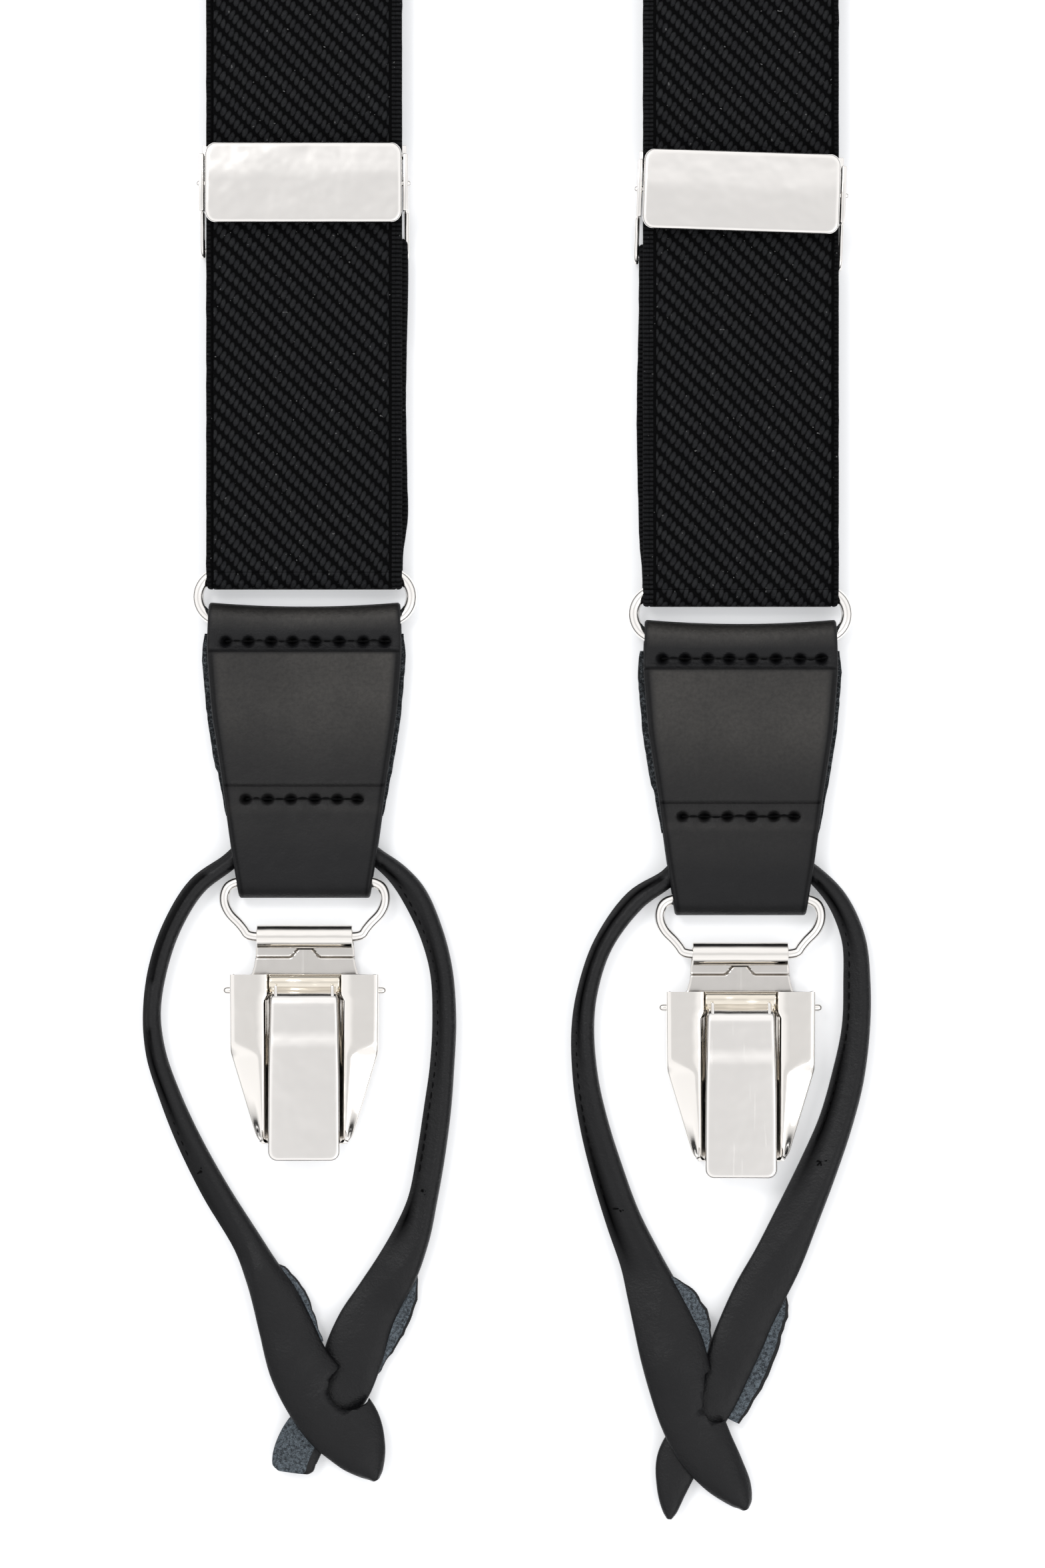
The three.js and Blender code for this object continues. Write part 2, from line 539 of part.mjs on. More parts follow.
function clipLever() {
  const face = new THREE.Shape();
  face.moveTo(-LEVER_TOP_HALF, LEVER_TOP_Y);
  face.lineTo(-LEVER_END_HALF, LEVER_END_Y + LEVER_CORNER);
  face.absarc(-LEVER_END_HALF + LEVER_CORNER, LEVER_END_Y + LEVER_CORNER, LEVER_CORNER,
    Math.PI, 1.5 * Math.PI);
  face.absarc(LEVER_END_HALF - LEVER_CORNER, LEVER_END_Y + LEVER_CORNER, LEVER_CORNER,
    1.5 * Math.PI, 2 * Math.PI);
  face.lineTo(LEVER_TOP_HALF, LEVER_TOP_Y);
  face.closePath();
  const ear = new THREE.Shape();
  ear.moveTo(LEVER_TOP_Y - 4, LEVER_Z + 0.1);
  ear.lineTo(CLIP_PIN_Y - 1.3, CLIP_PIN_Z - 0.3);
  ear.absarc(CLIP_PIN_Y, CLIP_PIN_Z, 1.3, Math.PI + 0.2, -0.2);
  ear.lineTo(LEVER_TOP_Y, LEVER_Z + 0.1);
  ear.closePath();
  ear.holes.push(new THREE.Path().absarc(CLIP_PIN_Y, CLIP_PIN_Z, CLIP_PIN + 0.1, 0, 2 * Math.PI, true));
  const earX = LEVER_TOP_HALF - BODY_WALL / 2 - 0.2;
  const slots = box(-20, 20, BODY_END_Y, BODY_WINDOW_Y, BODY_FLOOR_Z - 0.5, BODY_FLOOR_Z + 0.8 + GAP);
  const ears = cut(join(acrossX(ear, BODY_WALL).translate(earX, 0, 0),
    acrossX(ear, BODY_WALL).translate(-earX, 0, 0)), slots);
  return join(plate(face, LEVER_Z, LEVER_Z + CLIP_SHEET), ears);
}

// The leaf spring that the lever's cam rides on, seen through the window above the lever.
function clipSpring() {
  const half = LEVER_TOP_HALF - 0.2 - BODY_WALL - 2 * GAP;
  const floorTop = BODY_FLOOR_Z + 0.8 + GAP;
  const leaf = polygon([[BODY_WINDOW_Y - 12, floorTop], [BODY_WINDOW_Y - 1, floorTop],
    [BODY_WINDOW_Y + 1, floorTop + 0.4], [CLIP_PIN_Y + 1.5, floorTop - 0.1],
    [CLIP_PIN_Y + 1.5, floorTop + 0.3], [BODY_WINDOW_Y + 1, floorTop + 0.8],
    [BODY_WINDOW_Y - 1, floorTop + 0.5], [BODY_WINDOW_Y - 12, floorTop + 0.5]]);
  return acrossX(leaf, 2 * half);
}

function clipPin() {
  return bar(CLIP_PIN, CLIP_PIN_LENGTH, CLIP_PIN_Y, CLIP_PIN_Z, 12);
}

// ---------------------------------------------------------------- button loop

// Middle lines of the two sides of a loop, measured from the cord's way through the tab: the rolled
// run, then the flat tongue with its half widths. The over side has the buttonhole.
const LEFT_LOOP = {
  overRun: [[-19.2, -6.5], [-23.5, -13.3], [-26.2, -21], [-27.3, -29.3], [-26.6, -36.6], [-24.2, -43.9],
    [-20.9, -51.7], [-16.1, -60.9], [-12.5, -66.8]],
  overTongue: [[-14.3, -64], [-10.3, -70.3], [-5.3, -80.3], [-3.3, -85.6], [-0.7, -92.7], [3.1, -98.4],
    [7.4, -103.5], [12.2, -111.4]],
  overHalves: [1.5, 2.7, 4.2, 4.9, 5.6, 6.4, 6.4, 1.6],
  hole: [5, -97.4],
  underRun: [[16.6, -4.4], [19.6, -8.2], [22.7, -15], [24.5, -22], [25, -30.6], [24.6, -38.8],
    [23.8, -46.3], [22.6, -54.8], [21.1, -62.8], [19.8, -67.4]],
  underTongue: [[20.9, -63.5], [19.3, -68.6], [16.5, -74.9], [10.6, -85.3], [7, -96.2], [-0.1, -105.3],
    [-2.1, -111.6]],
  underHalves: [1.5, 3.3, 4, 4.9, 4.8, 4.2, 3.6],
};
const RIGHT_LOOP = {
  overRun: [[-18.8, -6], [-24.5, -13.8], [-27.3, -22], [-28.2, -29], [-27.7, -38], [-26.2, -46], [-24, -54],
    [-21, -63], [-19.6, -67]],
  overTongue: [[-21.3, -62], [-17.8, -70.6], [-13.9, -81.2], [-10.6, -92.8], [-8.9, -98.4], [-3.7, -107.8],
    [0.4, -113.6]],
  overHalves: [1.5, 3.6, 5.3, 5.8, 5.6, 4.5, 1.6],
  hole: [-6.4, -97.8],
  underRun: [[17, -6], [20.1, -13], [20.9, -21], [20.7, -29], [19.2, -38], [17, -46], [13.9, -54],
    [11.4, -59.6]],
  underTongue: [[12.5, -56.8], [10, -63], [6.7, -70.4], [0.3, -83.4], [-4.4, -94.6], [-11, -106.4],
    [-12.6, -115.6]],
  underHalves: [1.5, 3.4, 4.4, 4.6, 4.1, 4, 1.3],
};

function loopRun(side, middle) {
  const points = [[side * LOOP_START, LOOP_Y - 0.6], ...middle.map(([x, y]) => [x, LOOP_Y + y])];
  return new THREE.CatmullRomCurve3(
    points.map(([x, y]) => new THREE.Vector3(x, y, FOLD_Z)), false, 'centripetal');
}

// A flat tongue along its middle line, with a buttonhole where one is given.
function tongue(middle, halfWidths, low, hole) {
  const curve = new THREE.SplineCurve(middle.map(([x, y]) => new THREE.Vector2(x, LOOP_Y + y)));
  const steps = 14;
  const left = [];
  const right = [];
  for (let i = 0; i <= steps; i += 1) {
    const t = i / steps;
    const at = curve.getPoint(t);
    const along = curve.getTangent(t);
    const place = t * (halfWidths.length - 1);
    const k = Math.min(Math.floor(place), halfWidths.length - 2);
    const half = THREE.MathUtils.lerp(halfWidths[k], halfWidths[k + 1], place - k);
    left.push([at.x - along.y * half, at.y + along.x * half]);
    right.push([at.x + along.y * half, at.y - along.x * half]);
  }
  const shape = polygon([...right, ...left.reverse()]);
  if (hole) {
    shape.holes.push(new THREE.Path().absarc(hole[0], LOOP_Y + hole[1], BUTTONHOLE, 0, 2 * Math.PI, true));
  }
  return plate(shape, low, low + TONGUE_THICK, 5);
}

function buttonLoop(loop) {
  const upper = FOLD_Z + GAP / 2;
  const lower = FOLD_Z - GAP / 2 - TONGUE_THICK;
  return join(
    tube(loopRun(-1, loop.overRun), CORD, 18),
    tube(loopRun(1, loop.underRun), CORD, 18),
    bar(CORD_CORE, 2 * LOOP_CORE_HALF, LOOP_Y, FOLD_Z, 12),
    tongue(loop.overTongue, loop.overHalves, upper, loop.hole),
    tongue(loop.underTongue, loop.underHalves, lower, null),
  );
}

// ---------------------------------------------------------------- back patch

function patchLeather(low) {
  const corners = [[PATCH_WIDE_HALF, PATCH_FRONT_Y], [PATCH_WIDE_HALF, PATCH_FRONT_Y + 16],
    [PATCH_NARROW_HALF, PATCH_REAR_Y], [-PATCH_NARROW_HALF, PATCH_REAR_Y],
    [-PATCH_WIDE_HALF, PATCH_FRONT_Y + 16], [-PATCH_WIDE_HALF, PATCH_FRONT_Y]];
  const path = corners.map(([x, y]) => new THREE.Vector2(x, y));
  const shape = new THREE.Shape();
  path.forEach((corner, i) => {
    const before = path[(i + path.length - 1) % path.length];
    const after = path[(i + 1) % path.length];
    const enter = corner.clone().lerp(before, PATCH_CORNER / corner.distanceTo(before));
    const leave = corner.clone().lerp(after, PATCH_CORNER / corner.distanceTo(after));
    if (i === 0) {
      shape.moveTo(enter.x, enter.y);
    } else {
      shape.lineTo(enter.x, enter.y);
    }
    shape.quadraticCurveTo(corner.x, corner.y, leave.x, leave.y);
  });
  shape.closePath();
  return plate(shape, low, low + PATCH_THICK, 4);
}

// ---------------------------------------------------------------- assembly

const suspenders = new THREE.Group();

function place(parent, name, geometry, material) {
  const mesh = new THREE.Mesh(geometry, MATERIALS[material]);
  mesh.name = name;
  parent.add(mesh);
  return mesh;
}

// Ring, tab, clip and button loop: the same on all three legs.
function addEnd(parent, leg, loop) {
  place(parent, `${leg}_ring`, ring(), 'nickel');
  place(parent, `${leg}_tab`, tabFront(), 'leather');
  place(parent, `${leg}_tab_lining`, tabLining(), 'suede');
  place(parent, `${leg}_clip_wire`, clipWire(), 'nickel');
  place(parent, `${leg}_clip_back_jaw`, clipBack(), 'nickel');
  place(parent, `${leg}_clip_jaw_pad`, jawPad(), 'pad');
  place(parent, `${leg}_clip_body`, clipBody(), 'nickel');
  place(parent, `${leg}_clip_lever`, clipLever(), 'nickel');
  place(parent, `${leg}_clip_spring`, clipSpring(), 'spring');
  place(parent, `${leg}_clip_pin`, clipPin(), 'nickel');
  place(parent, `${leg}_button_loop`, buttonLoop(loop), 'leather');
}

function addFrontLeg(leg, side, drop, lift, tilt, loop) {
  const group = new THREE.Group();
  group.position.set(side * STRAP_SPACING / 2, -FRONT_LENGTH - drop, 0);
  const patchY = FRONT_LENGTH + drop;
  const inward = -side * (STRAP_SPACING - PATCH_ENTRY_SPACING) / 2;
  place(group, `${leg}_strap`, frontWebbing(patchY, inward), 'webbing');
  place(group, `${leg}_strap_turn`, webbingTurn(), 'webbing');
  const askew = (WEB_WIDTH / 2) * Math.sin(THREE.MathUtils.degToRad(Math.abs(tilt)));
  const hemY = ADJUSTER_Y + lift - HEM_BAR_DROP + askew;
  place(group, `${leg}_strap_return`, returnWebbing(hemY), 'webbing');
  const adjuster = new THREE.Group();
  adjuster.position.set(0, ADJUSTER_Y + lift, COVER_PIN_Z);
  place(adjuster, `${leg}_adjuster_frame`, adjusterFrame(), 'nickel');
  place(adjuster, `${leg}_adjuster_pin`, adjusterPin(), 'nickel');
  place(adjuster, `${leg}_adjuster_cover`, adjusterCover(), 'nickel');
  adjuster.children.forEach((mesh) => mesh.rotation.set(0, 0, THREE.MathUtils.degToRad(tilt)));
  group.add(adjuster);
  addEnd(group, leg, loop);
  suspenders.add(group);
}

addFrontLeg('left', -1, 0, 0, 0, LEFT_LOOP);
addFrontLeg('right', 1, RIGHT_LEG_DROP, RIGHT_ADJUSTER_LIFT, RIGHT_ADJUSTER_TILT, RIGHT_LOOP);

const rear = new THREE.Group();
rear.position.set(0, REAR_LENGTH, 0);
rear.rotation.set(0, 0, Math.PI);
place(rear, 'rear_strap', rearWebbing(REAR_LENGTH), 'webbing');
addEnd(rear, 'rear', LEFT_LOOP);
suspenders.add(rear);

place(suspenders, 'patch_back', patchLeather(0), 'leather');
place(suspenders, 'patch_front', patchLeather(PATCH_THICK + WEB_THICK + 2 * GAP), 'leather');

export default suspenders;
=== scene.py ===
"""Looks for the Y-back suspenders: every visible piece is built here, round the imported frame.

Shapes are drawn in each leg's own millimetres, as in the CAD: x to the right, y up from the tab's top edge
towards the back patch, z up from the surface. Leg.place turns them into the frame's metres.
"""
import bmesh
import bpy
import json
import math
import random
from mathutils import Vector, noise
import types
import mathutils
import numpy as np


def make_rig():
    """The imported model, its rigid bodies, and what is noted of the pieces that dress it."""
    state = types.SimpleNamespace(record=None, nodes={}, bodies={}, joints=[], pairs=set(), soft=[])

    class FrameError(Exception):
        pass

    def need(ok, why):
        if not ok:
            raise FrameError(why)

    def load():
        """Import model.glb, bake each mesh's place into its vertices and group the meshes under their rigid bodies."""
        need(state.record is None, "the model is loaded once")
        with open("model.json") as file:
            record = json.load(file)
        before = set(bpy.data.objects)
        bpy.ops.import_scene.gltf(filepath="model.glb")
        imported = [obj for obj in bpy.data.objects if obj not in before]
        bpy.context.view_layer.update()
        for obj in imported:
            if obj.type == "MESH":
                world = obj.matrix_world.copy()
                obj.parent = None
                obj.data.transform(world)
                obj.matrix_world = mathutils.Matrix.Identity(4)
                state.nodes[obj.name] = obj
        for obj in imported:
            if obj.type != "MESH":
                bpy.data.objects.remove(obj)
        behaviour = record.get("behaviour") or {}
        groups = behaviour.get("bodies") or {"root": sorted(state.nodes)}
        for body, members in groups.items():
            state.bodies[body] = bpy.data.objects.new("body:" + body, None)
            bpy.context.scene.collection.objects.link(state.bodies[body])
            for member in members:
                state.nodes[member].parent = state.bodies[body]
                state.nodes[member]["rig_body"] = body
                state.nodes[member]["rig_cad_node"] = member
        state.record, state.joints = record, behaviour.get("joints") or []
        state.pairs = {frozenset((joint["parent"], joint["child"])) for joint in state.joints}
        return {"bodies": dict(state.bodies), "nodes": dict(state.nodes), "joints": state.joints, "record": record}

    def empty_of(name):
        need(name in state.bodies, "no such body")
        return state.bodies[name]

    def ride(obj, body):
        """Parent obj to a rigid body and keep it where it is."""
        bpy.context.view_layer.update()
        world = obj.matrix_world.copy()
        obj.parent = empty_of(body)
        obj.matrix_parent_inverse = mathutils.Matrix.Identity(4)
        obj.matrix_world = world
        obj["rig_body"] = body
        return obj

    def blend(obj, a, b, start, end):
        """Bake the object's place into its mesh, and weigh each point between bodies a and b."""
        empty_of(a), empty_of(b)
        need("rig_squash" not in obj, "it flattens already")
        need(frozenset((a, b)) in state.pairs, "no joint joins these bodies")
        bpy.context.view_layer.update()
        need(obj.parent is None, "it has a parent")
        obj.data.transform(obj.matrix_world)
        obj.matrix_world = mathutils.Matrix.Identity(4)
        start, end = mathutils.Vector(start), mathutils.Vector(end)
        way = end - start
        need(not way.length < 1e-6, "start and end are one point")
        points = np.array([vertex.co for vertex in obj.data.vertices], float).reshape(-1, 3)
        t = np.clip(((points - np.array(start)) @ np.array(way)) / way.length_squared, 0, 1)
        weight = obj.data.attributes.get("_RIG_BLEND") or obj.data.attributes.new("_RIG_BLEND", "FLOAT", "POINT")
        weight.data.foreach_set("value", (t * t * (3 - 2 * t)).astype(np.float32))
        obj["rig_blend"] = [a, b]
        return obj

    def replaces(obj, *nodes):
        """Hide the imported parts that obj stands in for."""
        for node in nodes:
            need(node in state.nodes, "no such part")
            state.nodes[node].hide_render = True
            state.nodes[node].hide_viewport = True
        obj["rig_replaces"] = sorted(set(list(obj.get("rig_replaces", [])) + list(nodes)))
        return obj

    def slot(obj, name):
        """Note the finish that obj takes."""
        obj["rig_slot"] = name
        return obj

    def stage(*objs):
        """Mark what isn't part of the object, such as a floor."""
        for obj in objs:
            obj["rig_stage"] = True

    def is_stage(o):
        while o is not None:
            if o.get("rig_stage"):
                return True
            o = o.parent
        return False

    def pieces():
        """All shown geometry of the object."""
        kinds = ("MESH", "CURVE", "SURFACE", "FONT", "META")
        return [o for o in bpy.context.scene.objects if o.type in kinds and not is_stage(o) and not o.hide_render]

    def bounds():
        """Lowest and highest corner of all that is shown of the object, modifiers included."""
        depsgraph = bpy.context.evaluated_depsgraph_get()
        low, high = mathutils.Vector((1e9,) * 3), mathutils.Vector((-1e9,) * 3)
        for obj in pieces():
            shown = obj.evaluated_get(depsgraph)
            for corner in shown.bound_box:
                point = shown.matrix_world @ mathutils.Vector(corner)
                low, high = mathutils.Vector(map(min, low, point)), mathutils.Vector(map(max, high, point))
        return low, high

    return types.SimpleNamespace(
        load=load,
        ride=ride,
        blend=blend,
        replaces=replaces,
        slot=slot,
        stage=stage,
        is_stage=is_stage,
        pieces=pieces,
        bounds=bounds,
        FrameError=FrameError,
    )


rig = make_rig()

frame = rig.load()
cad_box = [list(corner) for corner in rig.bounds()]
random.seed(7)

MM = 0.001
JOINTS = {joint["name"]: joint for joint in frame["joints"]}
ROOT = "back_patch_and_straps"

# Sizes in millimetres that the looks share with the CAD
WEB_HALF = 17.5
WEB_THICK = 1.4
RETURN_BOTTOM = 0.1
RING_LOW = 3.15                # tab's top edge down to the ring's lower bar
RING_SPAN = 8.7                # between the ring's two bars
RING_WIRE = 1.05
PLANE = 3.15                   # height of the ring, wire loop and button loop
FOLD_INNER = 1.65
WEB_BOTTOM = PLANE + FOLD_INNER
TAB_FOLD = 1.45
TAB_THICK = 1.5
TAB_LENGTH = 52.7
TAB_END = TAB_LENGTH - TAB_FOLD - TAB_THICK


# ------------------------------------------------------------------ camera

PHOTO_HEIGHT = 281.7           # millimetres of the scene that the picture covers, top to bottom
PHOTO_CENTRE = -32.3           # below the left tab's top edge
CAMERA_HEIGHT = 900


def tab_edge(leg):
    """World y of a leg's tab edge, in millimetres: the leg's own y = 0."""
    sign = -1 if leg == "rear" else 1
    return JOINTS[f"{leg}_tab_hinge"]["pos_m"][1] / MM + sign * RING_LOW


def add_object(name, data):
    obj = bpy.data.objects.new(name, data)
    bpy.context.scene.collection.objects.link(obj)
    return obj


def add_camera():
    data = bpy.data.cameras.new("camera")
    data.sensor_fit = "VERTICAL"
    data.sensor_height = 36
    data.lens = data.sensor_height * CAMERA_HEIGHT / PHOTO_HEIGHT
    camera = add_object("camera", data)
    camera.location = (0, (tab_edge("left") + PHOTO_CENTRE) * MM, CAMERA_HEIGHT * MM)
    bpy.context.scene.camera = camera


# ------------------------------------------------------------------ places

class Leg:
    """A leg's own millimetres, and where they lie in the frame."""

    def __init__(self, name):
        self.name = name
        self.sign = -1 if name == "rear" else 1
        self.x = JOINTS[f"{name}_tab_hinge"]["pos_m"][0] / MM
        self.y = tab_edge(name)

    def place(self, point):
        x, y, z = point
        return ((self.x + self.sign * x) * MM, (self.y + self.sign * y) * MM, z * MM)


    def own(self, name):
        """The full name of one of the leg's bodies or nodes."""
        return f"{self.name}_{name}"


def world_place(point):
    """The frame's own axes, in millimetres."""
    return tuple(value * MM for value in point)


# ------------------------------------------------------------------ curves

def lerp(a, b, t):
    return a + (b - a) * t


def ease(t):
    """0 up to t = 0, 1 from t = 1, smooth between."""
    t = min(max(t, 0.0), 1.0)
    return t * t * (3 - 2 * t)


def spline(points, per_span):
    """Centripetal Catmull-Rom through points of any dimension."""
    points = [Vector(point) for point in points]
    count = len(points)
    out = []
    for i in range(count - 1):
        p = [points[max(0, i - 1)], points[i], points[i + 1], points[min(count - 1, i + 2)]]
        if i == 0:
            p[0] = p[1] * 2 - p[2]
        if i == count - 2:
            p[3] = p[2] * 2 - p[1]
        t = [0.0]
        for a, b in zip(p, p[1:]):
            t.append(t[-1] + max((b - a).length, 1e-6) ** 0.5)
        for step in range(per_span):
            at = lerp(t[1], t[2], step / per_span)
            a = [p[k] * ((t[k + 1] - at) / (t[k + 1] - t[k])) + p[k + 1] * ((at - t[k]) / (t[k + 1] - t[k]))
                 for k in range(3)]
            b = [a[k] * ((t[k + 2] - at) / (t[k + 2] - t[k])) + a[k + 1] * ((at - t[k]) / (t[k + 2] - t[k]))
                 for k in range(2)]
            out.append(b[0] * ((t[2] - at) / (t[2] - t[1])) + b[1] * ((at - t[1]) / (t[2] - t[1])))
    out.append(points[-1].copy())
    return out


def arc(x, y, radius, start, end, steps):
    """Points on an arc, angles in degrees."""
    return [(x + radius * math.cos(math.radians(lerp(start, end, i / steps))),
             y + radius * math.sin(math.radians(lerp(start, end, i / steps)))) for i in range(steps + 1)]


def resample(points, spacing, closed=False):
    """Even steps along a polyline."""
    points = [Vector(p) for p in points]
    if closed:
        points.append(points[0].copy())
    lengths = [0.0]
    for a, b in zip(points, points[1:]):
        lengths.append(lengths[-1] + (b - a).length)
    count = max(2, round(lengths[-1] / spacing))
    out = []
    k = 0
    for i in range(count if closed else count + 1):
        at = lengths[-1] * i / count
        while k < len(lengths) - 2 and lengths[k + 1] < at:
            k += 1
        span = max(lengths[k + 1] - lengths[k], 1e-9)
        out.append(points[k].lerp(points[k + 1], (at - lengths[k]) / span))
    return out


# ------------------------------------------------------------------ meshes

def new_object(name, vertices, faces, materials, face_material=None):
    mesh = bpy.data.meshes.new(name)
    mesh.from_pydata(vertices, [], faces)
    for material in materials:
        mesh.materials.append(material)
    if face_material:
        mesh.polygons.foreach_set("material_index", face_material)
    mesh.polygons.foreach_set("use_smooth", [True] * len(mesh.polygons))
    mesh.update()
    return add_object(name, mesh)


def loft(name, place, sections, materials, closed_path=False, slot_of=lambda i, k: 0):
    """A skin through closed sections that all have the same number of points.

    slot_of(section index, point index) picks each face's material when there are several."""
    count = len(sections[0])
    vertices = [place(point) for section in sections for point in section]
    faces = []
    slots = []
    spans = len(sections) if closed_path else len(sections) - 1
    for i in range(spans):
        a = i * count
        b = ((i + 1) % len(sections)) * count
        for k in range(count):
            n = (k + 1) % count
            faces.append((a + k, a + n, b + n, b + k))
            slots.append(slot_of(i, k))
    if not closed_path:
        faces.append(tuple(range(count - 1, -1, -1)))
        faces.append(tuple(range((len(sections) - 1) * count, len(sections) * count)))
        slots += [slot_of(0, -1), slot_of(len(sections) - 1, -1)]
    obj = new_object(name, vertices, faces, materials, slots)
    fix_normals(obj)
    return obj


def fix_normals(obj):
    """Turns every face outwards and keeps the sharp edges sharp."""
    work = bmesh.new()
    work.from_mesh(obj.data)
    bmesh.ops.recalc_face_normals(work, faces=work.faces)
    work.to_mesh(obj.data)
    work.free()
    obj.data.set_sharp_from_angle(angle=math.radians(48))


def tube(name, place, path, radius, material, sides=14, closed=False):
    """A round wire along a path of 3D points; radius may be a function of the share of the way."""
    path = [Vector(point) for point in path]
    count = len(path)
    sections = []
    normal = None
    for i in range(count):
        if closed:
            along = (path[(i + 1) % count] - path[i - 1]).normalized()
        else:
            along = (path[min(i + 1, count - 1)] - path[max(i - 1, 0)]).normalized()
        if normal is None:
            normal = along.orthogonal().normalized()
            if abs(along.z) < 0.9:
                normal = Vector((0, 0, 1)).cross(along).normalized()
        normal = (normal - along * normal.dot(along)).normalized()
        side = along.cross(normal)
        r = radius(i / max(count - 1, 1)) if callable(radius) else radius
        sections.append([path[i] + (normal * math.cos(a) + side * math.sin(a)) * r
                         for a in (2 * math.pi * k / sides for k in range(sides))])
    return loft(name, place, sections, [material], closed)


def join(objects, name):
    """Several meshes as one object."""
    bpy.ops.object.select_all(action="DESELECT")
    for obj in objects:
        obj.select_set(True)
    bpy.context.view_layer.objects.active = objects[0]
    bpy.ops.object.join()
    objects[0].name = name
    objects[0].data.name = name
    return objects[0]


def settle(obj, body, slot, *nodes):
    """The piece rides on its body, takes its slot and stands for its CAD nodes."""
    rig.ride(obj, body)
    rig.slot(obj, slot)
    if nodes:
        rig.replaces(obj, *nodes)
    return obj


def settle_own(leg, obj, body, slot, node):
    """As settle, for the piece that stands for one node of a leg and is named after it."""
    obj.name = leg.own(node) + "_piece"
    obj.data.name = obj.name
    return settle(obj, leg.own(body), slot, leg.own(node))


def shell(name, place, rows, material):
    """Closed skin over a grid: every row holds (x, y, top z, bottom z) points."""
    across = len(rows[0])
    vertices = [place((x, y, top)) for row in rows for x, y, top, bottom in row]
    lower = len(vertices)
    vertices += [place((x, y, bottom)) for row in rows for x, y, top, bottom in row]
    faces = []
    for i in range(len(rows) - 1):
        for k in range(across - 1):
            a = i * across + k
            b = a + across
            faces.append((a, a + 1, b + 1, b))
            faces.append((lower + a, lower + b, lower + b + 1, lower + a + 1))
    last = (len(rows) - 1) * across
    edge = list(range(across)) + [i * across + across - 1 for i in range(1, len(rows))]
    edge += [last + k for k in range(across - 2, -1, -1)]
    edge += [i * across for i in range(len(rows) - 2, 0, -1)]
    for a, b in zip(edge, edge[1:] + edge[:1]):
        faces.append((a, b, lower + b, lower + a))
    obj = new_object(name, vertices, faces, [material])
    fix_normals(obj)
    return obj


def edge_steps(length, fine, coarse):
    """Distances from 0 to length, close together near both ends."""
    near = [d for d in fine if d < length / 2]
    middle = max(2, round((length - 2 * near[-1]) / coarse))
    span = length - 2 * near[-1]
    steps = near + [near[-1] + span * i / middle for i in range(1, middle)]
    return steps + [length - d for d in reversed(near)]


def pillow(name, place, half_width, top, bottom, corner, z_of, thick, rim, material, coarse=1.2, base=None):
    """A plate with rounded corners and a turned-down rim. half_width(y), z_of(x, y); rim = (radius, depth).

    corner is a radius, or a pair for the top and the bottom corners. base is the height of a flat
    underside; without it the plate is thick all over."""
    radius, depth = rim
    upper, lower = corner if isinstance(corner, tuple) else (corner, corner)
    fine = [0, 0.04, 0.12, 0.25, 0.42, 0.65, 0.95, 1.4, 2.0]
    rows = []
    for down in edge_steps(top - bottom, fine, coarse):
        y = top - down
        end = min(down, top - bottom - down)
        corner = upper if down == end else lower
        pull = corner - math.sqrt(max(corner ** 2 - max(corner - end, 0) ** 2, 0))
        half = half_width(y) - pull
        row = []
        for along in edge_steps(2 * half, fine, coarse):
            x = along - half
            qx = abs(x) - half_width(y) + corner
            qy = corner - end
            inside = corner - (math.hypot(max(qx, 0), max(qy, 0)) + min(max(qx, qy), 0))
            inside = max(inside, 0)
            fall = depth * (1 - math.sqrt(max(1 - max(1 - inside / radius, 0) ** 2, 0)))
            z = z_of(x, y) - fall
            row.append((x, y, z, z - thick if base is None else min(z - 0.2, base)))
        rows.append(row)
    count = min(len(row) for row in rows)
    rows = [row if len(row) == count else thin_row(row, count) for row in rows]
    return shell(name, place, rows, material)


def thin_row(row, count):
    """A row with fewer points, read off the full one at even shares."""
    out = []
    for i in range(count):
        at = i * (len(row) - 1) / (count - 1)
        k = min(int(at), len(row) - 2)
        out.append(tuple(lerp(a, b, at - k) for a, b in zip(row[k], row[k + 1])))
    return out


def slab(name, place, x, y, z, bevel, material):
    """A block between pairs of x, y and z, with rounded edges."""
    work = bmesh.new()
    bmesh.ops.create_cube(work, size=1)
    for vertex in work.verts:
        vertex.co = (lerp(*x, vertex.co.x + 0.5), lerp(*y, vertex.co.y + 0.5), lerp(*z, vertex.co.z + 0.5))
    bmesh.ops.bevel(work, geom=work.edges[:], offset=bevel, segments=3, profile=0.5, affect="EDGES")
    for vertex in work.verts:
        vertex.co = place(vertex.co)
    mesh = bpy.data.meshes.new(name)
    work.to_mesh(mesh)
    work.free()
    mesh.materials.append(material)
    mesh.polygons.foreach_set("use_smooth", [True] * len(mesh.polygons))
    obj = add_object(name, mesh)
    fix_normals(obj)
    return obj


def set_cloth(obj, values):
    """Where every point lies on the cloth, in millimetres: across, along, and its height off the middle."""
    attribute = obj.data.attributes.new("cloth", "FLOAT_VECTOR", "POINT")
    attribute.data.foreach_set("vector", [number for value in values for number in value])


def set_share(obj, name, values):
    """A number from 0 to 1 at every point, which a material reads by its name."""
    obj.data.attributes.new(name, "FLOAT", "POINT").data.foreach_set("value", values)


def run_of(path, i):
    """Flat directions at a point of a path: along it, and to its left."""
    along = (path[min(i + 1, len(path) - 1)] - path[max(i - 1, 0)]).xy.normalized()
    return along, Vector((-along.y, along.x))


# ------------------------------------------------------------------ materials

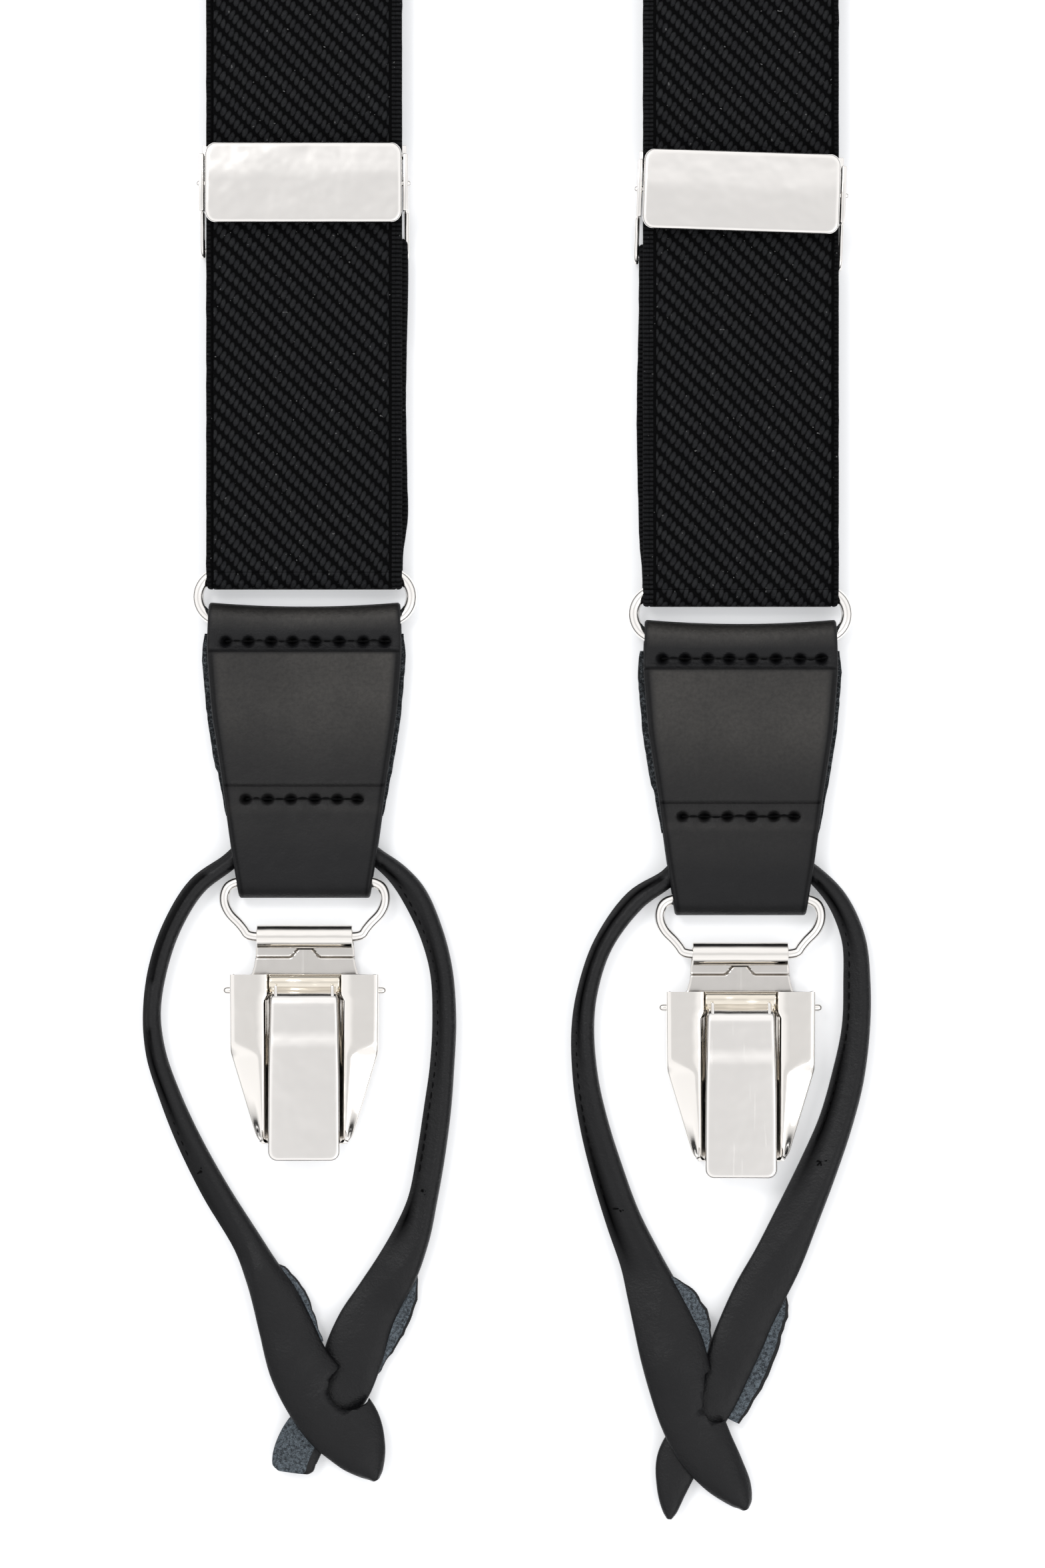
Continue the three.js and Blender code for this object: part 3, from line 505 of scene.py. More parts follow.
class Value:
    """A number that a material's nodes work out, so that formulas can be written as formulas."""

    def __init__(self, nodes, socket):
        self.nodes = nodes
        self.socket = socket

    def __add__(self, other):
        return self.nodes.math("ADD", self, other)

    def __sub__(self, other):
        return self.nodes.math("SUBTRACT", self, other)

    def __rsub__(self, other):
        return self.nodes.math("SUBTRACT", other, self)

    def __mul__(self, other):
        return self.nodes.math("MULTIPLY", self, other)

    def __truediv__(self, other):
        return self.nodes.math("DIVIDE", self, other)

    def __pow__(self, other):
        return self.nodes.math("POWER", self, other)

    def __abs__(self):
        return self.nodes.math("ABSOLUTE", self)


class Nodes:
    """Short names for building a material's node tree."""

    def __init__(self, name):
        self.material = bpy.data.materials.new(name)
        self.material.use_nodes = True
        self.tree = self.material.node_tree
        self.shader = self.tree.nodes["Principled BSDF"]

    def add(self, kind, **values):
        node = self.tree.nodes.new(kind)
        for key, value in values.items():
            setattr(node, key, value)
        return node

    def link(self, source, target):
        self.tree.links.new(source.socket if isinstance(source, Value) else source, target)

    def fill(self, socket, value):
        """A number, a colour or another node's output goes into the socket."""
        if isinstance(value, (int, float)):
            socket.default_value = value
        elif isinstance(value, tuple):
            socket.default_value = (*value, 1)
        else:
            self.link(value, socket)

    def math(self, operation, *values):
        node = self.add("ShaderNodeMath", operation=operation)
        for socket, value in zip(node.inputs, values):
            self.fill(socket, value)
        return Value(self, node.outputs[0])

    def saw(self, value, period):
        """Rises from -0.5 to 0.5 in every period."""
        return self.math("FRACT", value / period) - 0.5

    def near(self, value, middle, inner, outer):
        """1 within inner of the middle, 0 beyond outer."""
        return 1 - self.ramp(abs(value - middle), inner, outer)

    def round_top(self, inside):
        """Height of a round thread, from 1 less its squared share of the way to the edge."""
        return self.math("SQRT", self.math("MAXIMUM", inside, 0))

    def attribute(self, name):
        """A number that the mesh holds at every point."""
        return Value(self, self.add("ShaderNodeAttribute", attribute_name=name).outputs["Fac"])

    def mix(self, share, a, b):
        node = self.add("ShaderNodeMix", data_type="RGBA")
        for socket, value in ((node.inputs[0], share), (node.inputs[6], a), (node.inputs[7], b)):
            self.fill(socket, value)
        return node.outputs[2]

    def noise(self, vector, scale, detail=2.0, roughness=0.5):
        node = self.add("ShaderNodeTexNoise")
        self.link(vector, node.inputs["Vector"])
        node.inputs["Scale"].default_value = scale
        node.inputs["Detail"].default_value = detail
        node.inputs["Roughness"].default_value = roughness
        return Value(self, node.outputs["Fac"])

    def ramp(self, value, low, high):
        """0 below low, 1 above high, smooth between."""
        node = self.add("ShaderNodeMapRange", interpolation_type="SMOOTHSTEP")
        self.link(value, node.inputs["Value"])
        node.inputs["From Min"].default_value = low
        node.inputs["From Max"].default_value = high
        return Value(self, node.outputs["Result"])

    def bump(self, height, distance, strength=1.0):
        node = self.add("ShaderNodeBump")
        self.link(height, node.inputs["Height"])
        node.inputs["Distance"].default_value = distance
        node.inputs["Strength"].default_value = strength
        self.link(node.outputs["Normal"], self.shader.inputs["Normal"])

    def millimetres(self):
        """The object's own coordinates, in millimetres."""
        coords = self.add("ShaderNodeTexCoord")
        scale = self.add("ShaderNodeVectorMath", operation="SCALE")
        self.link(coords.outputs["Object"], scale.inputs[0])
        scale.inputs["Scale"].default_value = 1000
        return scale.outputs[0]

    def set(self, **values):
        for key, value in values.items():
            self.fill(self.shader.inputs[key.replace("_", " ")], value)


def webbing_material(name, ribbed_side):
    """Black elastic twill. ribbed_side is where the broad cross-ribbed selvage is: -1 or 1."""
    n = Nodes(name)
    cloth = n.add("ShaderNodeAttribute", attribute_name="cloth").outputs["Vector"]
    parts = n.add("ShaderNodeSeparateXYZ")
    n.link(cloth, parts.inputs[0])
    flat_x, y = Value(n, parts.outputs[0]), Value(n, parts.outputs[1])
    x = flat_x + (n.noise(cloth, 0.45) - 0.5) * 0.7

    # Ribs run down to the right at 45 degrees; each is a row of short yarns that lean the other way
    rib, yarn, cross_rib = 3.12, 0.78, 0.8
    across_rib = n.saw(x + y, rib) * rib
    across_yarn = n.saw(x - across_rib / 3, yarn) * 2
    along_yarn = across_rib / 1.5
    bulge = n.round_top(1 - abs(across_yarn) ** 2 * 0.8 - (abs(along_yarn) / 0.92) ** 2)
    fibre = n.noise(cloth, 3.5, 3)
    weave = bulge * (fibre * 0.7 + 0.6)

    # Selvages: a smooth rolled edge, and on one side a band of fine cross ribs behind a groove
    threads = n.round_top(1 - (n.saw(y, cross_rib) * 2.1) ** 2) * (fibre * 0.5 + 0.35)
    edge = n.ramp(abs(flat_x), 16.55, 16.7)
    height = weave * (1 - edge) + threads * 0.75 * edge
    height *= 1 - n.near(abs(flat_x), 16.4, 0.1, 0.35) * 0.9
    out = flat_x * ribbed_side
    in_band = n.ramp(out, 15.45, 15.6)
    height = height * (1 - in_band) + threads * in_band
    height *= 1 - n.near(out, 15.4, 0.1, 0.32)
    speck = n.ramp(n.noise(cloth, 1.9, 0.0), 0.83, 0.86)
    yarn_colour = n.mix(n.noise(cloth, 0.9, 2), (0.011, 0.011, 0.013), (0.029, 0.030, 0.031))
    # Painted shade and highlight: near black where the height is low, between the yarns and in the grooves, lighter on
    # the yarn tops.
    colour = n.mix(n.ramp(height, 0.15, 1.0), (0.0012, 0.0012, 0.0014), yarn_colour)
    colour = n.mix(speck, colour, (0.10, 0.10, 0.10))
    n.set(Base_Color=colour, Roughness=0.9, Specular_IOR_Level=0.06)
    n.bump(height, 0.0005, 1.0)
    return n.material


def leather_material(name, shine=0.42, with_painted_highlight=False, sheen=0.24):
    """Smooth black calf leather: fine grain, a few soft creases, slight marks."""
    n = Nodes(name)
    mm = n.millimetres()
    height = n.noise(mm, 2.6, 4, 0.6) * 0.5 + n.noise(mm, 0.45, 3, 0.6) * 0.8
    colour = n.mix(n.noise(mm, 0.11, 2), (0.0016, 0.0017, 0.0025), (0.0040, 0.0040, 0.0047))
    # Painted highlight: a lighter, warmer colour, broken up by noise, where the mesh's share for it is high. It stands
    # for the lights' broad sheen on the tab.
    if with_painted_highlight:
        patchy = n.ramp(n.noise(mm, 0.07, 2, 0.5), 0.2, 0.8)
        fine = n.ramp(n.noise(mm, 1.4, 4, 0.6), 0.2, 0.8)
        highlight_colour = n.mix(fine, (0.030, 0.028, 0.026), (0.050, 0.047, 0.043))
        colour = n.mix(n.attribute("burnish") * (patchy * 0.5 + 0.5), colour, highlight_colour)
    # Painted shade: near black, with little specular, where the mesh's share for it is high, in stitch holes, grooves
    # and along seams.
    pit = n.attribute("pit")
    colour = n.mix(pit, colour, (0.0004, 0.0004, 0.0005))
    rough = n.noise(mm, 0.35, 3) * 0.22 + (shine - 0.08)
    n.set(Base_Color=colour, Roughness=rough, Specular_IOR_Level=(1 - pit) * sheen)
    n.bump(height, 0.00022, 0.9)
    return n.material


def flesh_material(name, dark=0.0):
    """The raw, dyed-through side of the leather: grey-blue fibres."""
    n = Nodes(name)
    mm = n.millimetres()
    mixed = n.noise(mm, 1.9, 5, 0.75) * 0.6 + n.noise(mm, 6.0, 3, 0.7) * 0.4
    light = (0.15 - 0.03 * dark, 0.18 - 0.05 * dark, 0.205 - 0.07 * dark)
    deep = (0.016 - 0.01 * dark, 0.018 - 0.011 * dark, 0.021 - 0.013 * dark)
    colour = n.mix(n.ramp(mixed, 0.38 + 0.12 * dark, 0.66), deep, light)
    n.set(Base_Color=colour, Roughness=0.9, Specular_IOR_Level=0.2)
    n.bump(mixed, 0.0004, 0.8)
    return n.material


def nickel_material(name, tint=(0.855, 0.83, 0.80), rough=0.13, scratched=0.0):
    """Polished nickel plating with faint waviness, and scratches where wanted."""
    n = Nodes(name)
    mm = n.millimetres()
    roughness = n.noise(mm, 0.5, 3) * 0.10 + (rough - 0.05)
    height = n.noise(mm, 0.16, 2) + n.noise(mm, 3.0, 2) * 0.01
    if scratched:
        stretch = n.add("ShaderNodeMapping")
        stretch.inputs["Rotation"].default_value = (0, 0, 0.5)
        stretch.inputs["Scale"].default_value = (3.2, 0.11, 1)
        n.link(mm, stretch.inputs["Vector"])
        line = n.ramp(n.noise(stretch.outputs[0], 1.0, 1.0), 0.68, 0.74)
        roughness += line * scratched
    n.set(Base_Color=tint, Metallic=1.0, Roughness=roughness)
    n.bump(height, 0.0006, 0.25)
    return n.material


def plain_material(name, colour, rough, metallic=0.0, grain=1.5):
    """One colour with a little unevenness, for thread, rubber and the floor."""
    n = Nodes(name)
    share = n.noise(n.millimetres(), grain, 3)
    n.set(Base_Color=n.mix(share, colour, tuple(value * 0.8 for value in colour)), Roughness=rough,
          Metallic=metallic, Specular_IOR_Level=0.1)
    return n.material


WEB_LEFT = webbing_material("webbing_ribbed_right", 1)
WEB_RIGHT = webbing_material("webbing_ribbed_left", -1)
LEATHER = leather_material("leather")
# The tab's leather, with its painted highlight.
TAB_LEATHER = leather_material("leather_burnished", 0.42, True)
LOOP_LEATHER = leather_material("leather_rolled", 0.33, sheen=0.27)
FLESH = flesh_material("leather_flesh")
RAW_EDGE = flesh_material("leather_raw_edge", 0.75)
NICKEL = nickel_material("nickel")
CLIP_NICKEL = nickel_material("nickel_clip", (0.84, 0.81, 0.77), 0.12)
SATIN_NICKEL = nickel_material("nickel_satin", (0.66, 0.635, 0.605), 0.2)
WARM_NICKEL = nickel_material("nickel_warm", (0.79, 0.73, 0.63), 0.16)
SCRATCHED = nickel_material("nickel_scratched", (0.855, 0.83, 0.80), 0.14, 0.12)
THREAD = plain_material("thread", (0.0016, 0.0016, 0.0018), 0.9, grain=4)
PAD = plain_material("rubber_pad", (0.012, 0.012, 0.012), 0.75)


# ------------------------------------------------------------------ webbing

def web_outline():
    """Cross-section of the webbing, round from the top's left edge: (x, z from the underside)."""
    radius = WEB_THICK / 2
    groove = [(-WEB_HALF + 1.0, 0.0), (-WEB_HALF + 1.15, -0.16), (-WEB_HALF + 1.35, 0.0)]
    top = [(x, WEB_THICK + dz) for x, dz in groove]
    top += [(x, WEB_THICK) for x in (-12, -8, -4, 0, 4, 8, 12)]
    top += [(-x, WEB_THICK + dz) for x, dz in reversed(groove)]
    right = arc(WEB_HALF - radius, radius, radius, 90, -90, 8)
    bottom = [(x, 0.0) for x in (12, 6, 0, -6, -12)]
    left = arc(-WEB_HALF + radius, radius, radius, -90, -270, 8)
    return top + right + bottom + left[:-1]


def webbing(name, place, stations, material):
    """A strip of webbing. A station is (x, y, z of the strip's middle, slope angle, distance along)."""
    outline = web_outline()
    middle = WEB_THICK / 2
    sections = []
    cloth = []
    for x, y, z, slope, along in stations:
        section = []
        for px, pz in outline:
            lift = pz - middle
            wave = 0.1 * noise.noise(Vector((along * 0.35, 3.0 if px > 0 else -3.0, 0)))
            edge = wave if abs(px) > 15 else 0
            section.append((x + px + edge, y - lift * math.sin(slope), z + lift * math.cos(slope)))
            cloth.append((px, along, lift))
        sections.append(section)
    obj = loft(name, place, sections, [material])
    set_cloth(obj, cloth)
    return obj


def path_stations(points, along=0.0, x_of=lambda y: 0.0):
    """Stations for a strip whose middle follows (y, z) points."""
    stations = []
    for i, (y, z) in enumerate(points):
        before = points[max(i - 1, 0)]
        after = points[min(i + 1, len(points) - 1)]
        if i:
            along += math.hypot(y - points[i - 1][0], z - points[i - 1][1])
        stations.append((x_of(y), y, z, math.atan2(after[1] - before[1], after[0] - before[0]), along))
    return stations


PIECE_LENGTH = 112
RAMP_START = 180
RAMP_LENGTH = 70
CONVERGE_START = 190
STRAP_END_WORLD = -12
STRAP_END_X = 19.25            # the two straps lie side by side in the patch
PRESSED_AT = 47.4              # a shallow dent across the outer run
RING_TOP = RING_SPAN - RING_LOW
TURN_RADIUS = FOLD_INNER + WEB_THICK / 2
PATCH_WEB_BOTTOM = 1.8


def front_strap(leg, material):
    """Outer webbing from the ring's turn up to the back patch, in pieces short enough to bake sharply."""
    sign = -1 if leg.name == "left" else 1
    end = STRAP_END_WORLD - leg.y
    inward = -sign * (abs(leg.x) - STRAP_END_X)
    drop = WEB_BOTTOM - PATCH_WEB_BOTTOM

    def middle_x(y):
        return inward * ease((y - CONVERGE_START) / (end - CONVERGE_START))

    def middle_z(y):
        press = -0.12 * math.exp(-(y - PRESSED_AT) ** 2)
        return WEB_BOTTOM + WEB_THICK / 2 - drop * ease((y - RAMP_START) / RAMP_LENGTH) + press

    start = RING_TOP
    pieces = math.ceil((end - start) / PIECE_LENGTH)
    for i in range(pieces):
        low = start + (end - start) * i / pieces
        high = start + (end - start) * (i + 1) / pieces
        steps = round((high - low) / 1.5)
        points = [(y, middle_z(y)) for y in (lerp(low, high, k / steps) for k in range(steps + 1))]
        stations = path_stations(points, low, middle_x)
        obj = webbing(f"{leg.name}_strap_piece_{i}", leg.place, stations, material)
        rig.blend(obj, ROOT, f"{leg.name}_ring_end", leg.place((0, end, 0)), leg.place((0, start, 0)))
        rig.slot(obj, "webbing")
        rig.replaces(obj, f"{leg.name}_strap")


def turn_points():
    """Half a turn of the strip's middle round the ring's upper bar, from the back to the front."""
    return arc(RING_TOP, PLANE, TURN_RADIUS, 270, 90, 14)


def strap_turn(leg, material):
    stations = path_stations(turn_points(), RING_TOP - math.pi * TURN_RADIUS)
    obj = webbing("strap_turn", leg.place, stations, material)
    settle_own(leg, obj, "ring_end", "webbing", "strap_turn")


HEM_LENGTH = 15.8
REAR_HEM = 32
REAR_END = 8                   # in front of the patch's middle
REAR_RAMP_END = 42


def hem_points(low, bar, hem):
    """Middle of the return layer: up the back, round the adjuster's bar, and a short hem."""
    bar_z = RETURN_BOTTOM + WEB_THICK + 0.8
    radius = 0.8 + WEB_THICK / 2
    back = RETURN_BOTTOM + WEB_THICK / 2
    steps = round((bar - low) / 1.5)
    points = [(lerp(low, bar, i / steps), back) for i in range(steps)]
    points += arc(bar, bar_z, radius, -90, 90, 12)
    points += [(lerp(bar, bar - hem, i / 10), bar_z + radius) for i in range(1, 11)]
    return points


def strap_return(leg, bar, material):
    """Inner webbing from the turn up to the adjuster; it shows 0.6 to 1 mm past the outer layer's side."""
    shift = 0.8 if leg.name == "left" else -0.8

    def middle_x(y):
        return (shift + 0.2 * math.sin(y * 0.13)) * ease((y - 7) / 10)

    stations = path_stations(hem_points(RING_TOP, bar, HEM_LENGTH), 0, middle_x)
    obj = webbing(f"{leg.name}_strap_return_piece", leg.place, stations, material)
    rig.blend(obj, f"{leg.name}_ring_end", f"{leg.name}_adjuster",
             leg.place((0, RING_TOP, 0)), leg.place((0, bar - 2, 0)))
    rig.slot(obj, "webbing")
    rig.replaces(obj, f"{leg.name}_strap_return")


def rear_strap(leg, material):
    """Short strap from the patch to the rear ring and back on itself."""
    end = leg.y - REAR_END
    ramp_start = leg.y - REAR_RAMP_END - RAMP_LENGTH
    drop = WEB_BOTTOM - PATCH_WEB_BOTTOM
    hem = [(RING_TOP + REAR_HEM - i * 2, RETURN_BOTTOM + WEB_THICK / 2) for i in range(16)]
    front_z = WEB_BOTTOM + WEB_THICK / 2
    steps = round((end - RING_TOP) / 2)
    front = [(y, front_z - drop * ease((y - ramp_start) / RAMP_LENGTH))
             for y in (lerp(RING_TOP, end, (i + 1) / steps) for i in range(steps))]
    points = hem + turn_points() + front
    half = len(points) // 2
    stations = path_stations(points, 0)
    for i, part in enumerate((stations[:half + 1], stations[half:])):
        obj = webbing(f"rear_strap_piece_{i}", leg.place, part, material)
        settle(obj, ROOT, "webbing", "rear_strap")


# ------------------------------------------------------------------ adjuster

EAR_Y = (-5.0, 5.2)
EAR_Z = (0.9, 8.9)
HEM_BAR = 11.5                 # the hem's bar lies this far below the cover's pin
COVER_HALF = 7.15


def adjuster(leg, pivot_y, pivot_z, tilt):
    """Frame, pin and cover of the strap adjuster, turned by tilt degrees about its middle."""
    turn = math.radians(tilt)

    def place(point):
        x, y, z = point
        return leg.place((x * math.cos(turn) - y * math.sin(turn),
                          pivot_y + x * math.sin(turn) + y * math.cos(turn), z))

    parts = []
    for side in (-1, 1):
        x = sorted((side * 17.72, side * 18.6))
        parts.append(slab("ear", place, x, EAR_Y, EAR_Z, 0.2, NICKEL))
        bend = ((-4.2, 3.2), (-8.5, 3.1), (-11.6, 2.7), (-12.5, 1.6), (-11.4, 0.9))
        foot = [(side * 18.25, y, z) for y, z in bend]
        parts.append(tube("foot", place, spline(foot, 6), 0.46, NICKEL, 12))
    parts.append(tube("hem_bar", place, [(x, -HEM_BAR, 2.3) for x in (-18.3, -9, 0, 9, 18.3)], 0.5, NICKEL))
    parts.append(slab("crossbar", place, (-18.3, 18.3), (4.6, 7.2), (3.5, 4.5), 0.2, NICKEL))
    settle_own(leg, join(parts, "frame"), "adjuster", "nickel", "adjuster_frame")

    pins = [tube("pin", place, [(side * (17.4 + step), 0, pivot_z) for step in (0, 0.8, 1.4, 1.6)],
                 lambda t: 0.55 if t < 0.9 else 0.4, NICKEL, 14) for side in (-1, 1)]
    settle_own(leg, join(pins, "pins"), "adjuster", "nickel", "adjuster_pin")

    crease = 1.7 if leg.name == "left" else 0.7

    def cover_z(x, y):
        dent = 0.03 * noise.noise(Vector((x * 0.1, y * 0.2, 4.0 + pivot_y)))
        slope = 0.045 * (y - crease) if y > crease else 0.02 * (crease - y)
        return 9.95 - slope + dent

    parts = [pillow("cover", place, lambda y: WEB_HALF, COVER_HALF, -COVER_HALF, 2.1, cover_z, 0.75,
                    (0.6, 0.42), NICKEL, 0.9, base=9.1)]
    for lug in (-16.9, 16.9):
        parts.append(slab("lug", place, (lug - 0.3, lug + 0.3), (-1.6, 1.6), (6.6, 9.0), 0.15, NICKEL))
    settle_own(leg, join(parts, "cover"), "adjuster_cover", "nickel", "adjuster_cover")


# ------------------------------------------------------------------ ring and tab

def ring(leg):
    radius = RING_SPAN / 2
    middle = radius - RING_LOW
    bend = 14.8
    path = [(x, y, PLANE) for x, y in arc(bend, middle, radius, -90, 90, 24)]
    path += [(x, y, PLANE) for x, y in arc(-bend, middle, radius, 90, 270, 24)]
    obj = tube("ring", leg.place, path, RING_WIRE, NICKEL, 20, closed=True)
    settle_own(leg, obj, "ring", "nickel", "ring")


TAB_SIDES = [(3, 16.9), (0, 17.05), (-8.5, 17.45), (-19.6, 16.55), (-30.3, 14.9), (-43.2, 13.15),
             (-54, 11.4)]
UPPER_STITCHES = (-6.8, [-14.05, -9.99, -5.93, -2.08, 1.98, 6.26, 10.54, 14.39])
LOWER_STITCHES = (-35.0, [-10.5, -6.5, -2.4, 1.9, 5.9, 9.5])
# One stitch from hole to hole: share of the way, share of its tilt, height over the sunk thread
STITCH = [(0, 0, -0.75), (0.22, 0.4, -0.2), (0.5, 1, 0.16), (0.78, 0.4, -0.2), (1, 0, -0.75)]


def table(pairs, at):
    """Reads a falling (y, value) table with smooth joins."""
    if at >= pairs[0][0]:
        return pairs[0][1]
    for (y0, v0), (y1, v1) in zip(pairs, pairs[1:]):
        if at >= y1:
            return lerp(v0, v1, (y0 - at) / (y0 - y1))
    return pairs[-1][1]


def tab_half(y):
    return sum(table(TAB_SIDES, y + d) for d in (-2, -1, 0, 1, 2)) / 5


def tab_relief(x, y, seed):
    """How far the tab's front lies above or below flat."""
    height = -0.28 * ease((-8.2 - y) / 0.5) * ease((y + 32.9) / 0.5)
    height += 0.22 * math.exp(-((y + 8.1) / 0.4) ** 2) + 0.2 * math.exp(-((y + 32.7) / 0.4) ** 2)
    for row, places in (UPPER_STITCHES, LOWER_STITCHES):
        height -= 0.22 * math.exp(-((y - row) / 0.8) ** 2) * ease((places[-1] + 2 - abs(x)) / 1.5)
        for place in places:
            dx = (x - place) / 0.95
            dy = (y - row) / 0.85
            height -= 0.8 * math.exp(-(dx * dx + dy * dy) ** 2)
            pucker = math.exp(-((y - row + 1.9) / 1.0) ** 2) * math.exp(-((x - place - 2) / 0.8) ** 2)
            height += 0.16 * pucker
    height += 0.10 * noise.noise(Vector((x * 0.09, y * 0.07, seed)))
    return height


def tab_painted_shade(x, y):
    """Painted shade, 0 to 1: how far a point lies in a stitch hole, in the groove between two of them, on the two
    lines across the tab or just inside its sides; these are painted dark.
    """
    depth = 0.45 * math.exp(-((y + 8.6) / 0.22) ** 2) + 0.35 * math.exp(-((y + 32.4) / 0.22) ** 2)
    depth += 0.5 * math.exp(-((tab_half(y) - abs(x) - 0.75) / 0.25) ** 2) * ease((-y - 8) / 2)
    for row, places in (UPPER_STITCHES, LOWER_STITCHES):
        for place in places:
            distance = math.hypot(x - place, (y - row) * 1.1)
            depth += math.exp(-(distance / 0.85) ** 4)
        if places[0] < x < places[-1]:
            depth += 0.7 * math.exp(-((y - row) / 0.3) ** 2)
    return min(depth, 1)


def tab(leg):
    """Tapered leather strip, folded over the ring's lower bar at the top and the clip's wire below."""
    middle = TAB_FOLD + TAB_THICK / 2
    fine = [-5.0 - 0.28 * i for i in range(16)]
    fine += [-9.6 - 1.1 * i for i in range(20)]
    fine += [-31.4 - 0.28 * i for i in range(22)]
    fine += [-37.8 - 1.1 * i for i in range(10)]
    front = [(y, PLANE + middle, 90) for y in fine]

    def fold(at, angles):
        return [(at + middle * math.cos(math.radians(a)), PLANE + middle * math.sin(math.radians(a)), a)
                for a in angles]

    top = fold(-RING_LOW, (-90, -70, -50, -30, -10, 10, 30, 50, 65, 78, 90))
    bottom = fold(-TAB_END, (90, 105, 120, 140, 160, 180, 200, 220, 240, 255, 270))
    low = PLANE - middle
    path = [(-16.5 + i, low, -90) for i in range(13)] + top + front + bottom
    path += [(-TAB_END + 1.2 * i, low, 270) for i in range(1, 14)]
    seed = leg.x * 0.1 + 2
    across = 118
    sections = []
    for y, z, angle in path:
        half = tab_half(y)
        on_front = angle == 90
        along_y = math.cos(math.radians(angle))
        along_z = math.sin(math.radians(angle))
        outer = []
        inner = []
        for k in range(across + 1):
            share = -1 + 2 * k / across
            x = share * half
            edge = min(half - abs(x), 0.5) / 0.5
            rounding = 0.35 * (1 - math.sqrt(max(1 - (1 - edge) ** 2, 0)))
            relief = tab_relief(x, y, seed) if on_front else 0
            thick = TAB_THICK / 2 - rounding
            curl = (0.75 * share ** 2 - 0.3) * ease((y + 6) / 3)
            outer.append((x, y + curl + along_y * (thick + relief), z + along_z * (thick + relief)))
            thick = -TAB_THICK / 2 + rounding * 0.5
            relief = max(relief, -0.3) if on_front else 0
            if k % 6 == 0 or k == across:
                off = thick + relief * 0.2
                inner.append((x, y + along_y * off, z + along_z * off))
        sections.append(outer + inner[::-1])
    side_points = (across, len(sections[0]) - 1)
    obj = loft("tab_skin", leg.place, sections, [TAB_LEATHER, RAW_EDGE],
               slot_of=lambda i, k: 1 if k in side_points or k > across else 0)
    # Painted highlight as a share: lighter down the tab's flat middle, fading towards the bottom, and in bands on the
    # rolled top and lower down, none near the sides. Painted shade as a second share, in the stitch holes and lines.
    painted_highlight_share = []
    painted_shade_share = []
    for y, z, angle in path:
        middle_highlight = ease((-8.4 - y) / 1.0) * (1 - 0.8 * ease((-15 - y) / 17)) * ease((y + 47) / 8)
        roll = 1.0 * math.exp(-((y + 2.4) / 1.2) ** 2) + 0.35 * math.exp(-((y + 36.8) / 1.3) ** 2)
        for k in range(len(sections[0])):
            share = abs(-1 + 2 * k / across) if k <= across else 1
            edge = ease((0.97 - share) / 0.1)
            on_top = z > PLANE and k <= across
            painted_highlight_share.append(max(middle_highlight * edge, roll * ease((0.99 - share) / 0.05)) if on_top else 0)
            painted_shade_share.append(tab_painted_shade((-1 + 2 * k / across) * tab_half(y), y) if on_top else 0)
    set_share(obj, "burnish", painted_highlight_share)
    set_share(obj, "pit", painted_shade_share)
    settle_own(leg, obj, "tab", "leather", "tab")

    threads = []
    for row, places in (UPPER_STITCHES, LOWER_STITCHES):
        for i, x in enumerate(places):
            tilt = random.uniform(-0.25, 0.25)
            top_z = PLANE + TAB_FOLD + TAB_THICK - 0.42
            gap = (places[i + 1] - x) if i + 1 < len(places) else 1.6
            path = [(x + gap * share, row - tilt * lean, top_z + lift) for share, lean, lift in STITCH]
            threads.append(tube("stitch", leg.place, spline(path, 4), 0.2, THREAD, 8))
            low_z = low - TAB_THICK / 2 + 0.12
            path = [(px, py, low_z - (top_z - pz) * 0.1) for px, py, pz in path]
            threads.append(tube("stitch", leg.place, path, 0.25, THREAD, 8))
    settle(join(threads, f"{leg.name}_tab_stitches"), f"{leg.name}_tab", "webbing")

    def lining_half(y):
        return tab_half(y) + table([(-4, 0.2), (-9, 0.75), (-28, 0.75), (-38, 0.2)], y)

    rows = []
    for i in range(35):
        y = -5.4 - 32.6 * i / 34
        half = lining_half(y)
        row = []
        for k in range(21):
            x = lerp(-half - (0.25 if y > -30 else 0), half, k / 20)
            rough = 0.12 * noise.noise(Vector((x, y * 1.8, seed))) if k in (0, 20) else 0
            edge = 0.35 if k in (0, 20) else 0
            row.append((x + rough, y, 4.25 - edge, 2.05 + edge))
        rows.append(row)
    settle_own(leg, shell("lining", leg.place, rows, RAW_EDGE), "tab", "suede", "tab_lining")


# ------------------------------------------------------------------ clip

ROLL_Y = -59.6
PIN_Y = -69.2
PIN_Z = 3.6
WIRE_RADIUS = 0.92
WIRE_HALF = [(0, -49.75), (9.6, -49.75), (12.2, -49.9), (13.7, -50.7), (14.35, -52.1), (14.3, -53.8),
             (13.5, -55.5), (11.8, -57.3), (10.9, -58.4), (10.35, -59.2), (9.3, -59.55), (7.6, ROLL_Y),
             (0, ROLL_Y)]


def clip_wire(leg):
    half = spline([(x, y, PLANE) for x, y in WIRE_HALF], 8)
    path = half + [Vector((-p.x, p.y, p.z)) for p in reversed(half[1:-1])]
    obj = tube("wire", leg.place, path, WIRE_RADIUS, NICKEL, 18, closed=True)
    settle_own(leg, obj, "clip_wire", "nickel", "clip_wire")


